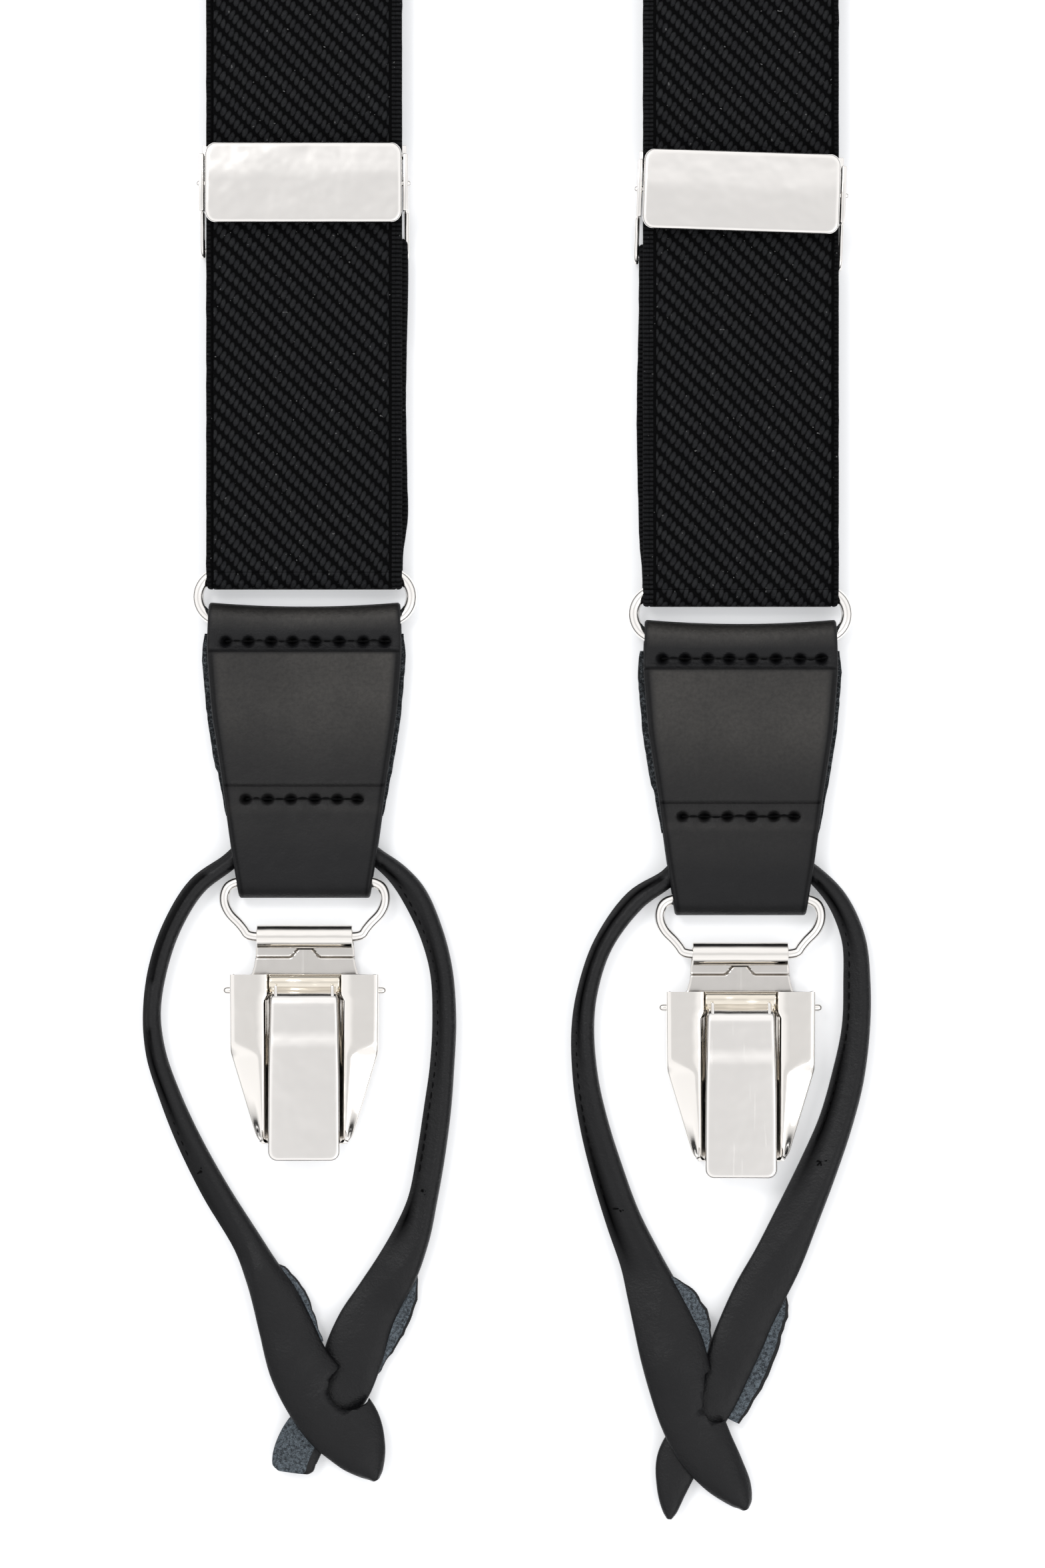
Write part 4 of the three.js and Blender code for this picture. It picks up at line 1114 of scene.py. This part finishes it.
def clip_back(leg):
    """Roll round the wire, waisted neck with a raised middle, back jaw, and the pin of the hinge."""
    parts = []
    outer, inner = 2.1, 1.2
    profile = arc(ROLL_Y, PLANE, outer, -90, 225, 40)
    profile += list(reversed(arc(ROLL_Y, PLANE, inner, -90, 225, 40)))
    sections = [[(x, y, z) for y, z in profile] for x in (-8.55, -8.45, 0, 8.45, 8.55)]
    for i in (0, -1):
        x = sections[i][0][0]
        sections[i] = [(x, lerp(p[1], ROLL_Y, 0.06), lerp(p[2], PLANE, 0.06)) for p in sections[i]]
    parts.append(loft("roll", leg.place, sections, [CLIP_NICKEL]))

    waist = [(ROLL_Y, 8.5), (-62, 8.85), (-63.5, 8.9), (-64.8, 9.1), (-66.2, 9.5), (-68, 11.2), (-70, 12.0),
             (-80, 12.0), (-95, 8.2), (-96, 7.4)]
    rows = []
    for y in [ROLL_Y - 0.2 * i for i in range(40)] + [-67.8 - 1.2 * i for i in range(24)]:
        half = table(waist, y)
        row = []
        for k in range(81):
            x = lerp(-half, half, k / 80)
            arch = 1.5 * ease((abs(x) - 1.1) / 1.6)
            ridge = 0.9 * ease((y - ROLL_Y + 2.4 + arch) / 0.35)
            crease = 0.04 * math.exp(-((x + 0.1) / 0.2) ** 2)
            z = 2.1 - ridge + crease
            edge = 0.15 if k in (0, 80) else 0
            row.append((x, y, z - edge, 1.05 + edge))
        rows.append(row)
    parts.append(shell("neck", leg.place, rows, SATIN_NICKEL))
    for side in (-1, 1):
        x = sorted((side * 11.4, side * 12.0))
        parts.append(slab("jaw_wall", leg.place, x, (-71.5, -67.4), (1.1, 4.4), 0.2, CLIP_NICKEL))
    settle_own(leg, join(parts, "back_jaw"), "clip", "nickel", "clip_back_jaw")

    pins = []
    taper = (0.66, 0.66, 0.6, 0.45, 0.22, 0.05)
    for side in (-1, 1):
        rim = [(side * x, PIN_Y, PIN_Z) for x in (13.0, 13.9, 14.2, 14.42, 14.56, 14.6)]
        pins.append(tube("pin", leg.place, rim, lambda t: taper[round(t * 5)], CLIP_NICKEL, 16))
    pins.append(tube("rod", leg.place, [(x, PIN_Y, PIN_Z) for x in (-13, 0, 13)], 0.62, CLIP_NICKEL, 12))
    settle_own(leg, join(pins, "pin"), "clip", "nickel", "clip_pin")


BODY_SIDES = [(-66.4, 13.4), (-80.3, 13.3), (-95.0, 8.85), (-95.9, 8.3), (-96.5, 7.4)]
BODY_TOP = 6.15
BODY_FLOOR = 4.35
SHEET = 0.8


def body_section(y):
    """Skin of the front jaw at one y, from the left wall's foot over both wings to the right wall's foot."""
    outer = table(BODY_SIDES, y)
    inner = table([(-70.0, 6.55), (-70.9, 7.1), (-96, 6.95)], y)
    facet = ease((-y - 78.4) / 3.2)
    fold = table([(-78.6, outer - 1.0), (-80.8, 8.6), (-94, 7.7), (-97, 7.5)], y)
    fold = min(fold, outer - 0.75)
    shoulder = BODY_TOP - 0.12 - 0.95 * facet
    bottom_fall = 0.35 * ease((-y - 95.9) / 0.7)
    floor = BODY_FLOOR - 0.9 * ease((y + 70.0) / 0.8)
    half = [(0, floor), (inner - 0.5, floor), (inner - 0.12, BODY_FLOOR + 0.12),
            (inner, BODY_FLOOR + 0.5), (inner, BODY_TOP - 0.55), (inner + 0.12, BODY_TOP - 0.15),
            (inner + 0.45, BODY_TOP), (fold - 0.3, BODY_TOP), (fold + 0.15, lerp(BODY_TOP, shoulder, 0.12)),
            (outer - 0.4, shoulder), (outer - 0.22, shoulder - 0.1), (outer - 0.1, shoulder - 0.4),
            (outer, 2.5), (outer, 1.05)]
    skin = [(x, z - bottom_fall if z > 3 else z) for x, z in half]
    skin = densify(skin, 3)
    return [(-x, z) for x, z in reversed(skin[1:])] + skin


def densify(points, parts):
    """Extra points on every edge of a polyline."""
    out = []
    for a, b in zip(points, points[1:]):
        out += [tuple(lerp(p, q, i / parts) for p, q in zip(a, b)) for i in range(parts)]
    return out + [points[-1]]


def clip_body(leg):
    """Front jaw: two raised wings either side of the lever, with folded facets below."""
    ys = [-66.3, -66.36, -66.5, -66.8] + [-67.4 - 0.6 * i for i in range(46)]
    ys += [-95.2, -95.6, -96.0, -96.3, -96.5]
    sections = []
    for y in ys:
        skin = body_section(y)
        count = len(skin)
        under = []
        for k in range(count):
            before = Vector(skin[max(k - 1, 0)])
            after = Vector(skin[min(k + 1, count - 1)])
            along = (after - before).normalized()
            under.append(Vector(skin[k]) + Vector((along.y, -along.x)) * (SHEET * 0.8))
        sections.append([(x, y, z) for x, z in skin] + [(p.x, y, p.y) for p in reversed(under)])
    obj = loft("body", leg.place, sections, [CLIP_NICKEL])
    settle_own(leg, obj, "clip_front_jaw", "nickel", "clip_body")


def clip_spring(leg):
    """Leaf under the lever; its upper end is curled and wider, with a raised middle."""
    def height(x, y):
        curl = 4.0 + math.sqrt(max(1.5 ** 2 - (y + 67.75) ** 2, 0.01))
        arched = 0.22 * math.exp(-(x / 2.2) ** 4)
        return lerp(curl + arched, 5.2, ease((-y - 68.9) / 0.6))

    def half(y):
        return table([(-69.6, 6.35), (-70.4, 4.3)], y)

    obj = pillow("spring", leg.place, half, -66.3, -83.0, (0.2, 1.0), height, 0.7, (0.2, 0.15),
                 WARM_NICKEL, 0.3)
    settle_own(leg, obj, "clip_front_jaw", "spring", "clip_spring")


def clip_lever(leg):
    """Curved-over top end, flat finger plate with a rolled rim."""
    def half(y):
        return table([(-68.2, 5.95), (-71.5, 6.05), (-84, 6.35), (-99.5, 6.45)], y)

    def height(x, y):
        z = 7.35 - 0.42 * ease((y + 79.5) / 3.4)
        return z - 1.5 * (max(0, y + 71.3) / 2.0) ** 2 - 0.05 * (x / 6) ** 2

    material = SCRATCHED if leg.name == "right" else NICKEL
    parts = [pillow("lever", leg.place, half, -68.6, -99.55, (0.6, 1.7), height, 0.75, (0.55, 0.55),
                    material, 0.9)]
    for side in (-1, 1):
        x = sorted((side * 5.35, side * 4.75))
        parts.append(slab("cheek", leg.place, x, (-71.2, -68.2), (2.5, 6.4), 0.2, material))
    settle_own(leg, join(parts, "lever"), "clip_lever", "nickel", "clip_lever")


# ------------------------------------------------------------------ button loop

CORD = 1.55
TONGUE_THICK = 1.4
UPPER_Z = 4.0
LOWER_Z = 2.3

# Stations down each run and tongue: x, y, full width. Then the rest of what sets the two loops apart.
LOOPS = {
    "left": {
        "over": [(-11, -43.9, 3.1), (-13.6, -46.3, 3.1), (-19.2, -50.5, 3.4), (-23.5, -57.3, 3.4),
                 (-26.2, -65.0, 3.4), (-27.35, -73.3, 3.2), (-26.6, -80.6, 3.6), (-24.2, -87.9, 3.9),
                 (-20.9, -95.7, 4.4), (-16.1, -104.9, 4.9), (-10.3, -114.3, 5.3), (-7.6, -119.5, 6.6),
                 (-5.3, -124.3, 8.4), (-3.3, -129.6, 9.8), (-0.7, -136.7, 11.3), (3.1, -142.4, 12.9),
                 (7.4, -147.5, 13.0), (10.4, -152.2, 9.3), (12.2, -155.4, 4.4), (12.8, -156.7, 1.4)],
        "under": [(11, -43.9, 3.1), (13.2, -45.6, 3.2), (16.6, -48.4, 3.9), (19.6, -52.2, 4.6),
                  (22.7, -59.0, 4.3), (24.5, -66.0, 4.1), (25.0, -74.6, 4.3), (24.6, -82.8, 4.4),
                  (23.8, -90.3, 4.9), (22.6, -98.8, 5.1), (21.1, -106.8, 5.3), (19.3, -112.6, 6.6),
                  (16.5, -118.9, 8.0), (13.3, -124.3, 8.6), (10.6, -129.3, 9.8), (8.7, -134.6, 10.6),
                  (7.0, -140.2, 9.6), (3.4, -145.4, 8.6), (-0.1, -149.3, 8.4), (-1.8, -153.0, 8.1),
                  (-2.0, -154.8, 7.4), (-2.1, -155.6, 5.6)],
        "over_seam": (-1, 0.46), "under_seam": (1, 0.50),
        "hole": [(5.9, -136.9), (4.5, -138.4), (4.2, -140.8), (5.3, -142.9), (7.1, -144.2), (8.9, -144.1),
                 (11.1, -143.1), (12.3, -140.4), (18, -136), (10, -128)],
        "over_flesh": [(-6.9, -117.3, 0.3), (-3.6, -119.8, 1.3), (-0.5, -124.2, 1.6), (1.3, -128.0, 1.0),
                       (3.2, -132, 0.3)],
        "under_flesh": [(19.9, -119.4, 0.4), (18.5, -124.2, 2.4), (16.4, -129.4, 2.8), (14.2, -134.6, 1.6),
                        (12.6, -138.4, 0.3)],
        "tail_flesh": True,
    },
    "right": {
        "over": [(-11, -43.9, 3.1), (-13.2, -46.2, 3.3), (-18.8, -50.0, 3.9), (-24.5, -57.8, 3.6),
                 (-27.3, -66.0, 3.7), (-28.2, -73.0, 4.1), (-27.7, -82.0, 4.6), (-26.2, -90.0, 5.2),
                 (-24.0, -98.0, 5.8), (-21.0, -107.0, 6.4), (-17.8, -114.6, 7.6), (-15.9, -119.6, 9.2),
                 (-13.9, -125.2, 10.8), (-12.2, -130.6, 11.8), (-10.6, -136.8, 11.6), (-8.9, -142.4, 11.2),
                 (-6.6, -147.4, 10.6), (-3.7, -151.8, 9.0), (-1.1, -155.2, 6.6), (0.4, -157.6, 3.8),
                 (0.9, -158.8, 1.4)],
        "under": [(11, -43.9, 3.1), (13.1, -45.3, 3.2), (17.3, -49.9, 3.8), (20.3, -57.0, 4.3),
                  (20.9, -65.0, 4.9), (20.7, -73.0, 5.1), (19.2, -82.0, 5.9), (17.0, -90.0, 6.2),
                  (13.9, -98.0, 7.0), (10.0, -107.0, 8.0), (6.7, -114.4, 8.8), (3.2, -121.0, 9.2),
                  (0.3, -127.4, 9.2), (-2.1, -133.0, 8.8), (-4.4, -138.6, 8.2), (-8.0, -145.0, 8.0),
                  (-11.0, -150.4, 8.0), (-12.2, -155.4, 5.6), (-12.6, -159.6, 2.6), (-12.7, -160.8, 1.0)],
        "over_seam": (-1, 0.5), "under_seam": (1, 0.42),
        "hole": [(-6.4, -134.6), (-6.8, -138.6), (-6.9, -141.2), (-5.4, -143.2), (-3.6, -143.4),
                 (-2.2, -142.6), (0, -141.6), (3, -137), (-1, -131)],
        "over_flesh": [(-13.2, -116.9, 0.3), (-9.6, -120.4, 2.0), (-7.4, -124.6, 2.6), (-6.3, -128.4, 1.6),
                       (-6.4, -131.6, 0.3)],
        "under_flesh": [(7.6, -118.6, 0.6), (6.6, -123.0, 3.2), (4.4, -129.6, 3.8), (1.6, -136.6, 3.8),
                        (-1.6, -143.2, 2.4)],
        "tail_flesh": False,
    },
}
LOOPS["rear"] = LOOPS["left"]
LOOP_POINTS = 36               # round a cross-section
SEAM_TOP = PLANE + 0.66        # height of the thread along the flange


def run_section(width, flat, seam_side):
    """Cross-section of the loop: a rolled cord with a sewn flange, opening out into a flat tongue."""
    half = width / 2
    centre = -seam_side * max(half - CORD, 0)
    section = []
    for k in range(LOOP_POINTS):
        angle = 2 * math.pi * k / LOOP_POINTS
        c, s = math.cos(angle), math.sin(angle)
        cord_u = centre + CORD * c
        cord_w = CORD * s
        towards = c * seam_side
        if towards > 0.35:
            share = (towards - 0.35) / 0.65
            cord_u = lerp(cord_u, seam_side * half, ease(share * 1.4))
            cord_w = math.copysign(lerp(abs(cord_w), 0.62, ease(share * 2.2)), s) if abs(s) > 0.03 else 0
            cord_w *= math.sqrt(max(1 - share ** 6, 0.0)) if width > 3.4 else 1
        flat_u = half * math.copysign(abs(c) ** 0.45, c)
        flat_w = TONGUE_THICK / 2 * math.copysign(abs(s) ** 0.5, s)
        section.append((lerp(cord_u, flat_u, flat), lerp(cord_w, flat_w, flat)))
    return section


def run(leg, stations, seam, level, name, arch, tail_flesh=False):
    """One side of the button loop, from the tab to the end of its tongue."""
    seam_side, open_at = seam
    turn = -seam_side if name == "under" else seam_side
    path = spline(stations, 7)
    count = len(path)
    sections = []
    for i, here in enumerate(path):
        side = run_of(path, i)[1]
        flat = ease((i / (count - 1) - open_at) / 0.16)
        z = lerp(PLANE, level, flat)
        section = []
        for u, w in run_section(here.z, flat, turn):
            lift = arch * flat * (1 - min((2 * u / max(here.z, 0.1)) ** 2, 1))
            lift += 0.5 * flat * noise.noise(Vector((here.x * 0.14 + u * 0.12, here.y * 0.14, leg.x)))
            section.append((here.x + side.x * u, here.y + side.y * u, z + w + lift))
        sections.append(section)
    tail = count - round(count * 0.16)

    def slot_of(i, k):
        return 1 if tail_flesh and i >= tail and 7 <= k <= 17 else 0

    obj = loft(name, leg.place, sections, [LOOP_LEATHER, FLESH], slot_of=slot_of)
    # Painted shade along the sewn seam: a share, highest in the groove beside the stitches, that the leather material
    # paints dark.
    seam_shade_share = []
    for i, here in enumerate(path):
        sewn = 1 - ease((i / (count - 1) - open_at) / 0.1)
        for u, w in run_section(here.z, 0, turn):
            away = here.z / 2 - u * turn - 1.1
            seam_shade_share.append(math.exp(-(away / 0.42) ** 2) * sewn if here.z > 3.3 and w > 0 else 0)
    set_share(obj, "pit", seam_shade_share)
    return obj


def cut(obj, leg, outline, low, high):
    """Cuts an upright prism out of a piece."""
    sections = [[(x, y, z) for x, y in resample(outline, 0.8, closed=True)] for z in (low, high)]
    tool = loft("cutter", leg.place, sections, [LOOP_LEATHER])
    modifier = obj.modifiers.new("cut", "BOOLEAN")
    modifier.operation = "DIFFERENCE"
    modifier.object = tool
    modifier.solver = "EXACT"
    bpy.context.view_layer.objects.active = obj
    bpy.ops.object.modifier_apply(modifier=modifier.name)
    bpy.data.objects.remove(tool)


def flesh_strip(leg, stations, top, name):
    """Raw side of the leather where a tongue's edge turns over."""
    path = spline(stations, 6)
    sections = []
    for i, here in enumerate(path):
        side = run_of(path, i)[1]
        half = max(here.z / 2, 0.1)
        wobble = 0.25 * noise.noise(Vector((here.x * 0.6, here.y * 0.6, 1.0)))
        sections.append([(here.x + side.x * u, here.y + side.y * u, z) for u, z in
                         ((-half - wobble, top - 0.1), (0, top), (half + wobble, top - 0.1),
                          (half + wobble, top - 0.75), (0, top - 0.8), (-half - wobble, top - 0.75))])
    strip = loft(name, leg.place, sections, [FLESH])
    wider = 1.35
    ply = [[(lerp(s[1][0], x, wider), lerp(s[1][1], y, wider), z - 0.35) for x, y, z in s] for s in sections]
    return join([strip, loft(name, leg.place, ply, [LOOP_LEATHER])], name)


def seam_threads(leg, stations, seam, name):
    """Stitches along the sewn flange, with a frayed end."""
    seam_side, open_at = seam
    turn = -seam_side if name == "under" else seam_side
    path = resample(spline(stations, 10), 1.9)
    count = len(path)
    threads = []
    for i in range(3, round(count * open_at)):
        here = path[i]
        if here.z < 3.5:
            continue
        along, side = run_of(path, i)
        middle = here.xy + side * (turn * (here.z / 2 - 1.0))
        stitch = [(*(middle + along * share), SEAM_TOP + lift)
                  for share, lift in ((-0.62, -0.1), (0, 0.05), (0.62, -0.1))]
        threads.append(tube("stitch", leg.place, stitch, 0.17, THREAD, 8))
    end = path[round(count * open_at) + 1]
    for _ in range(5):
        direction = Vector((random.uniform(-1, 1), random.uniform(-1, 0.4)))
        a = end.xy + direction * 0.2
        b = a + direction * random.uniform(0.6, 1.4)
        threads.append(tube("fray", leg.place, [(*a, PLANE + 0.8), (*b, PLANE + 1.3)], 0.13, THREAD, 6))
    return threads


def button_loop(leg):
    spec = LOOPS[leg.name]
    over = run(leg, spec["over"], spec["over_seam"], UPPER_Z, "over", 1.3)
    cut(over, leg, spec["hole"], UPPER_Z - 2, UPPER_Z + 3)
    under = run(leg, spec["under"], spec["under_seam"], LOWER_Z, "under", 0.6, spec["tail_flesh"])
    strips = [flesh_strip(leg, spec["over_flesh"], UPPER_Z + 0.3, "over_flesh"),
              flesh_strip(leg, spec["under_flesh"], LOWER_Z + 0.2, "under_flesh")]
    core = tube("core", leg.place, [(x, -44, PLANE) for x in (-12, 0, 12)], 1.0, LOOP_LEATHER)
    body = leg.own("button_loop")
    settle_own(leg, join([over, under, core], "loop"), "button_loop", "leather", "button_loop")
    settle(join(strips, body + "_flesh"), body, "suede")
    threads = seam_threads(leg, spec["over"], spec["over_seam"], "over")
    threads += seam_threads(leg, spec["under"], spec["under_seam"], "under")
    settle(join(threads, body + "_stitches"), body, "webbing")


# ------------------------------------------------------------------ back patch

def patch_half(y):
    return table([(34, 21), (-22, 41), (-38, 41)], y)


def patch():
    """Two leather layers with the strap ends sewn between them."""
    place = world_place
    for name, top in (("patch_front", 5.0), ("patch_back", 1.5)):
        obj = pillow(f"{name}_piece", place, patch_half, 34, -38, 5, lambda x, y: top, 1.35, (0.4, 0.15),
                     LEATHER, 1.6)
        settle(obj, ROOT, "leather", name)
    line = [(patch_half(y) - 3.2, y) for y in range(-35, 32)]
    loop = line + [(x, 31) for x in range(18, -19, -1)] + [(-x, y) for x, y in reversed(line)]
    loop += [(x, -35) for x in range(-37, 38)]
    threads = []
    places = resample(loop, 3.2, closed=True)
    for i, here in enumerate(places):
        along = (places[(i + 1) % len(places)] - here).normalized()
        for z, lift in ((5.05, 1), (0.1, 0)):
            stitch = [(*(here - along * 1.1), z - 0.15 * lift), (*here, z + 0.1 * lift),
                      (*(here + along * 1.1), z - 0.15 * lift)]
            threads.append(tube("stitch", place, stitch, 0.3 if lift else 0.15, THREAD, 8))
    settle(join(threads, "patch_stitches"), ROOT, "webbing")


# ------------------------------------------------------------------ floor and light

def add_stage():
    mesh = bpy.data.meshes.new("floor")
    size = 4
    corners = [(-size, -size, 0), (size, -size, 0), (size, size, 0), (-size, size, 0)]
    mesh.from_pydata(corners, [], [(0, 1, 2, 3)])
    floor = add_object("floor", mesh)
    floor.location.z = -0.2 * MM
    n = Nodes("floor")
    n.set(Base_Color=(0.93, 0.935, 0.945), Roughness=0.9, Specular_IOR_Level=0.1,
          Emission_Color=(0.93, 0.95, 0.965), Emission_Strength=0.22)
    mesh.materials.append(n.material)
    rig.stage(floor)

    world = bpy.data.worlds.new("studio")
    world.use_nodes = True
    tree = world.node_tree
    background = tree.nodes["Background"]
    coords = tree.nodes.new("ShaderNodeTexCoord")
    parts = tree.nodes.new("ShaderNodeSeparateXYZ")
    ramp = tree.nodes.new("ShaderNodeValToRGB")
    tree.links.new(coords.outputs["Generated"], parts.inputs[0])
    tree.links.new(parts.outputs[2], ramp.inputs[0])
    tree.links.new(ramp.outputs[0], background.inputs[0])
    stops = ((0.0, 0.03), (0.18, 0.05), (0.36, 0.7), (0.62, 1.15), (0.96, 1.04), (1.0, 0.78))
    while len(ramp.color_ramp.elements) < len(stops):
        ramp.color_ramp.elements.new(0.5)
    for element, (at, value) in zip(ramp.color_ramp.elements, stops):
        element.position = at
        element.color = (value, value, value * 1.01, 1)
    background.inputs[1].default_value = 1.05
    backdrop = tree.nodes.new("ShaderNodeBackground")
    backdrop.inputs[0].default_value = (0.93, 0.935, 0.945, 1)
    seen = tree.nodes.new("ShaderNodeLightPath")
    choose = tree.nodes.new("ShaderNodeMixShader")
    tree.links.new(seen.outputs["Is Camera Ray"], choose.inputs[0])
    tree.links.new(background.outputs[0], choose.inputs[1])
    tree.links.new(backdrop.outputs[0], choose.inputs[2])
    tree.links.new(choose.outputs[0], tree.nodes["World Output"].inputs["Surface"])
    bpy.context.scene.world = world

    lights = (("key", (-0.36, -0.2, 0.95), 0.26, 2.4), ("fill", (0.8, -1.2, 1.1), 0.9, 3))
    for name, where, size, energy in lights:
        data = bpy.data.lights.new(name, "AREA")
        data.size = size
        data.energy = energy
        light = add_object(name, data)
        light.location = where
        aim = Vector((0, -0.6, 0)) - Vector(where)
        light.rotation_euler = aim.to_track_quat("-Z", "Y").to_euler()
    bpy.context.scene.view_settings.view_transform = "Standard"


# ------------------------------------------------------------------ everything

def build():
    for name, material in (("left", WEB_LEFT), ("right", WEB_RIGHT)):
        leg = Leg(name)
        front_strap(leg, material)
        strap_turn(leg, material)
        hinge = JOINTS[f"{name}_adjuster_cover_hinge"]["pos_m"]
        pivot = hinge[1] / MM - leg.y
        tilt = 0 if name == "left" else -1.9
        strap_return(leg, pivot - HEM_BAR + (0.6 if tilt else 0), material)
        adjuster(leg, pivot, hinge[2] / MM, tilt)
    rear_strap(Leg("rear"), WEB_LEFT)
    for name in ("left", "right", "rear"):
        leg = Leg(name)
        for make in (ring, tab, clip_wire, clip_back, clip_body, clip_spring, clip_lever, button_loop):
            make(leg)
        pad = frame["nodes"][f"{name}_clip_jaw_pad"]
        pad.data.materials.clear()
        pad.data.materials.append(PAD)
        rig.slot(pad, "pad")
    patch()


build()
add_stage()
add_camera()
sizes = {"cad": cad_box, "visual": [list(corner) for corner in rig.bounds()]}
with open("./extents.json", "w") as file:
    json.dump(sizes, file)
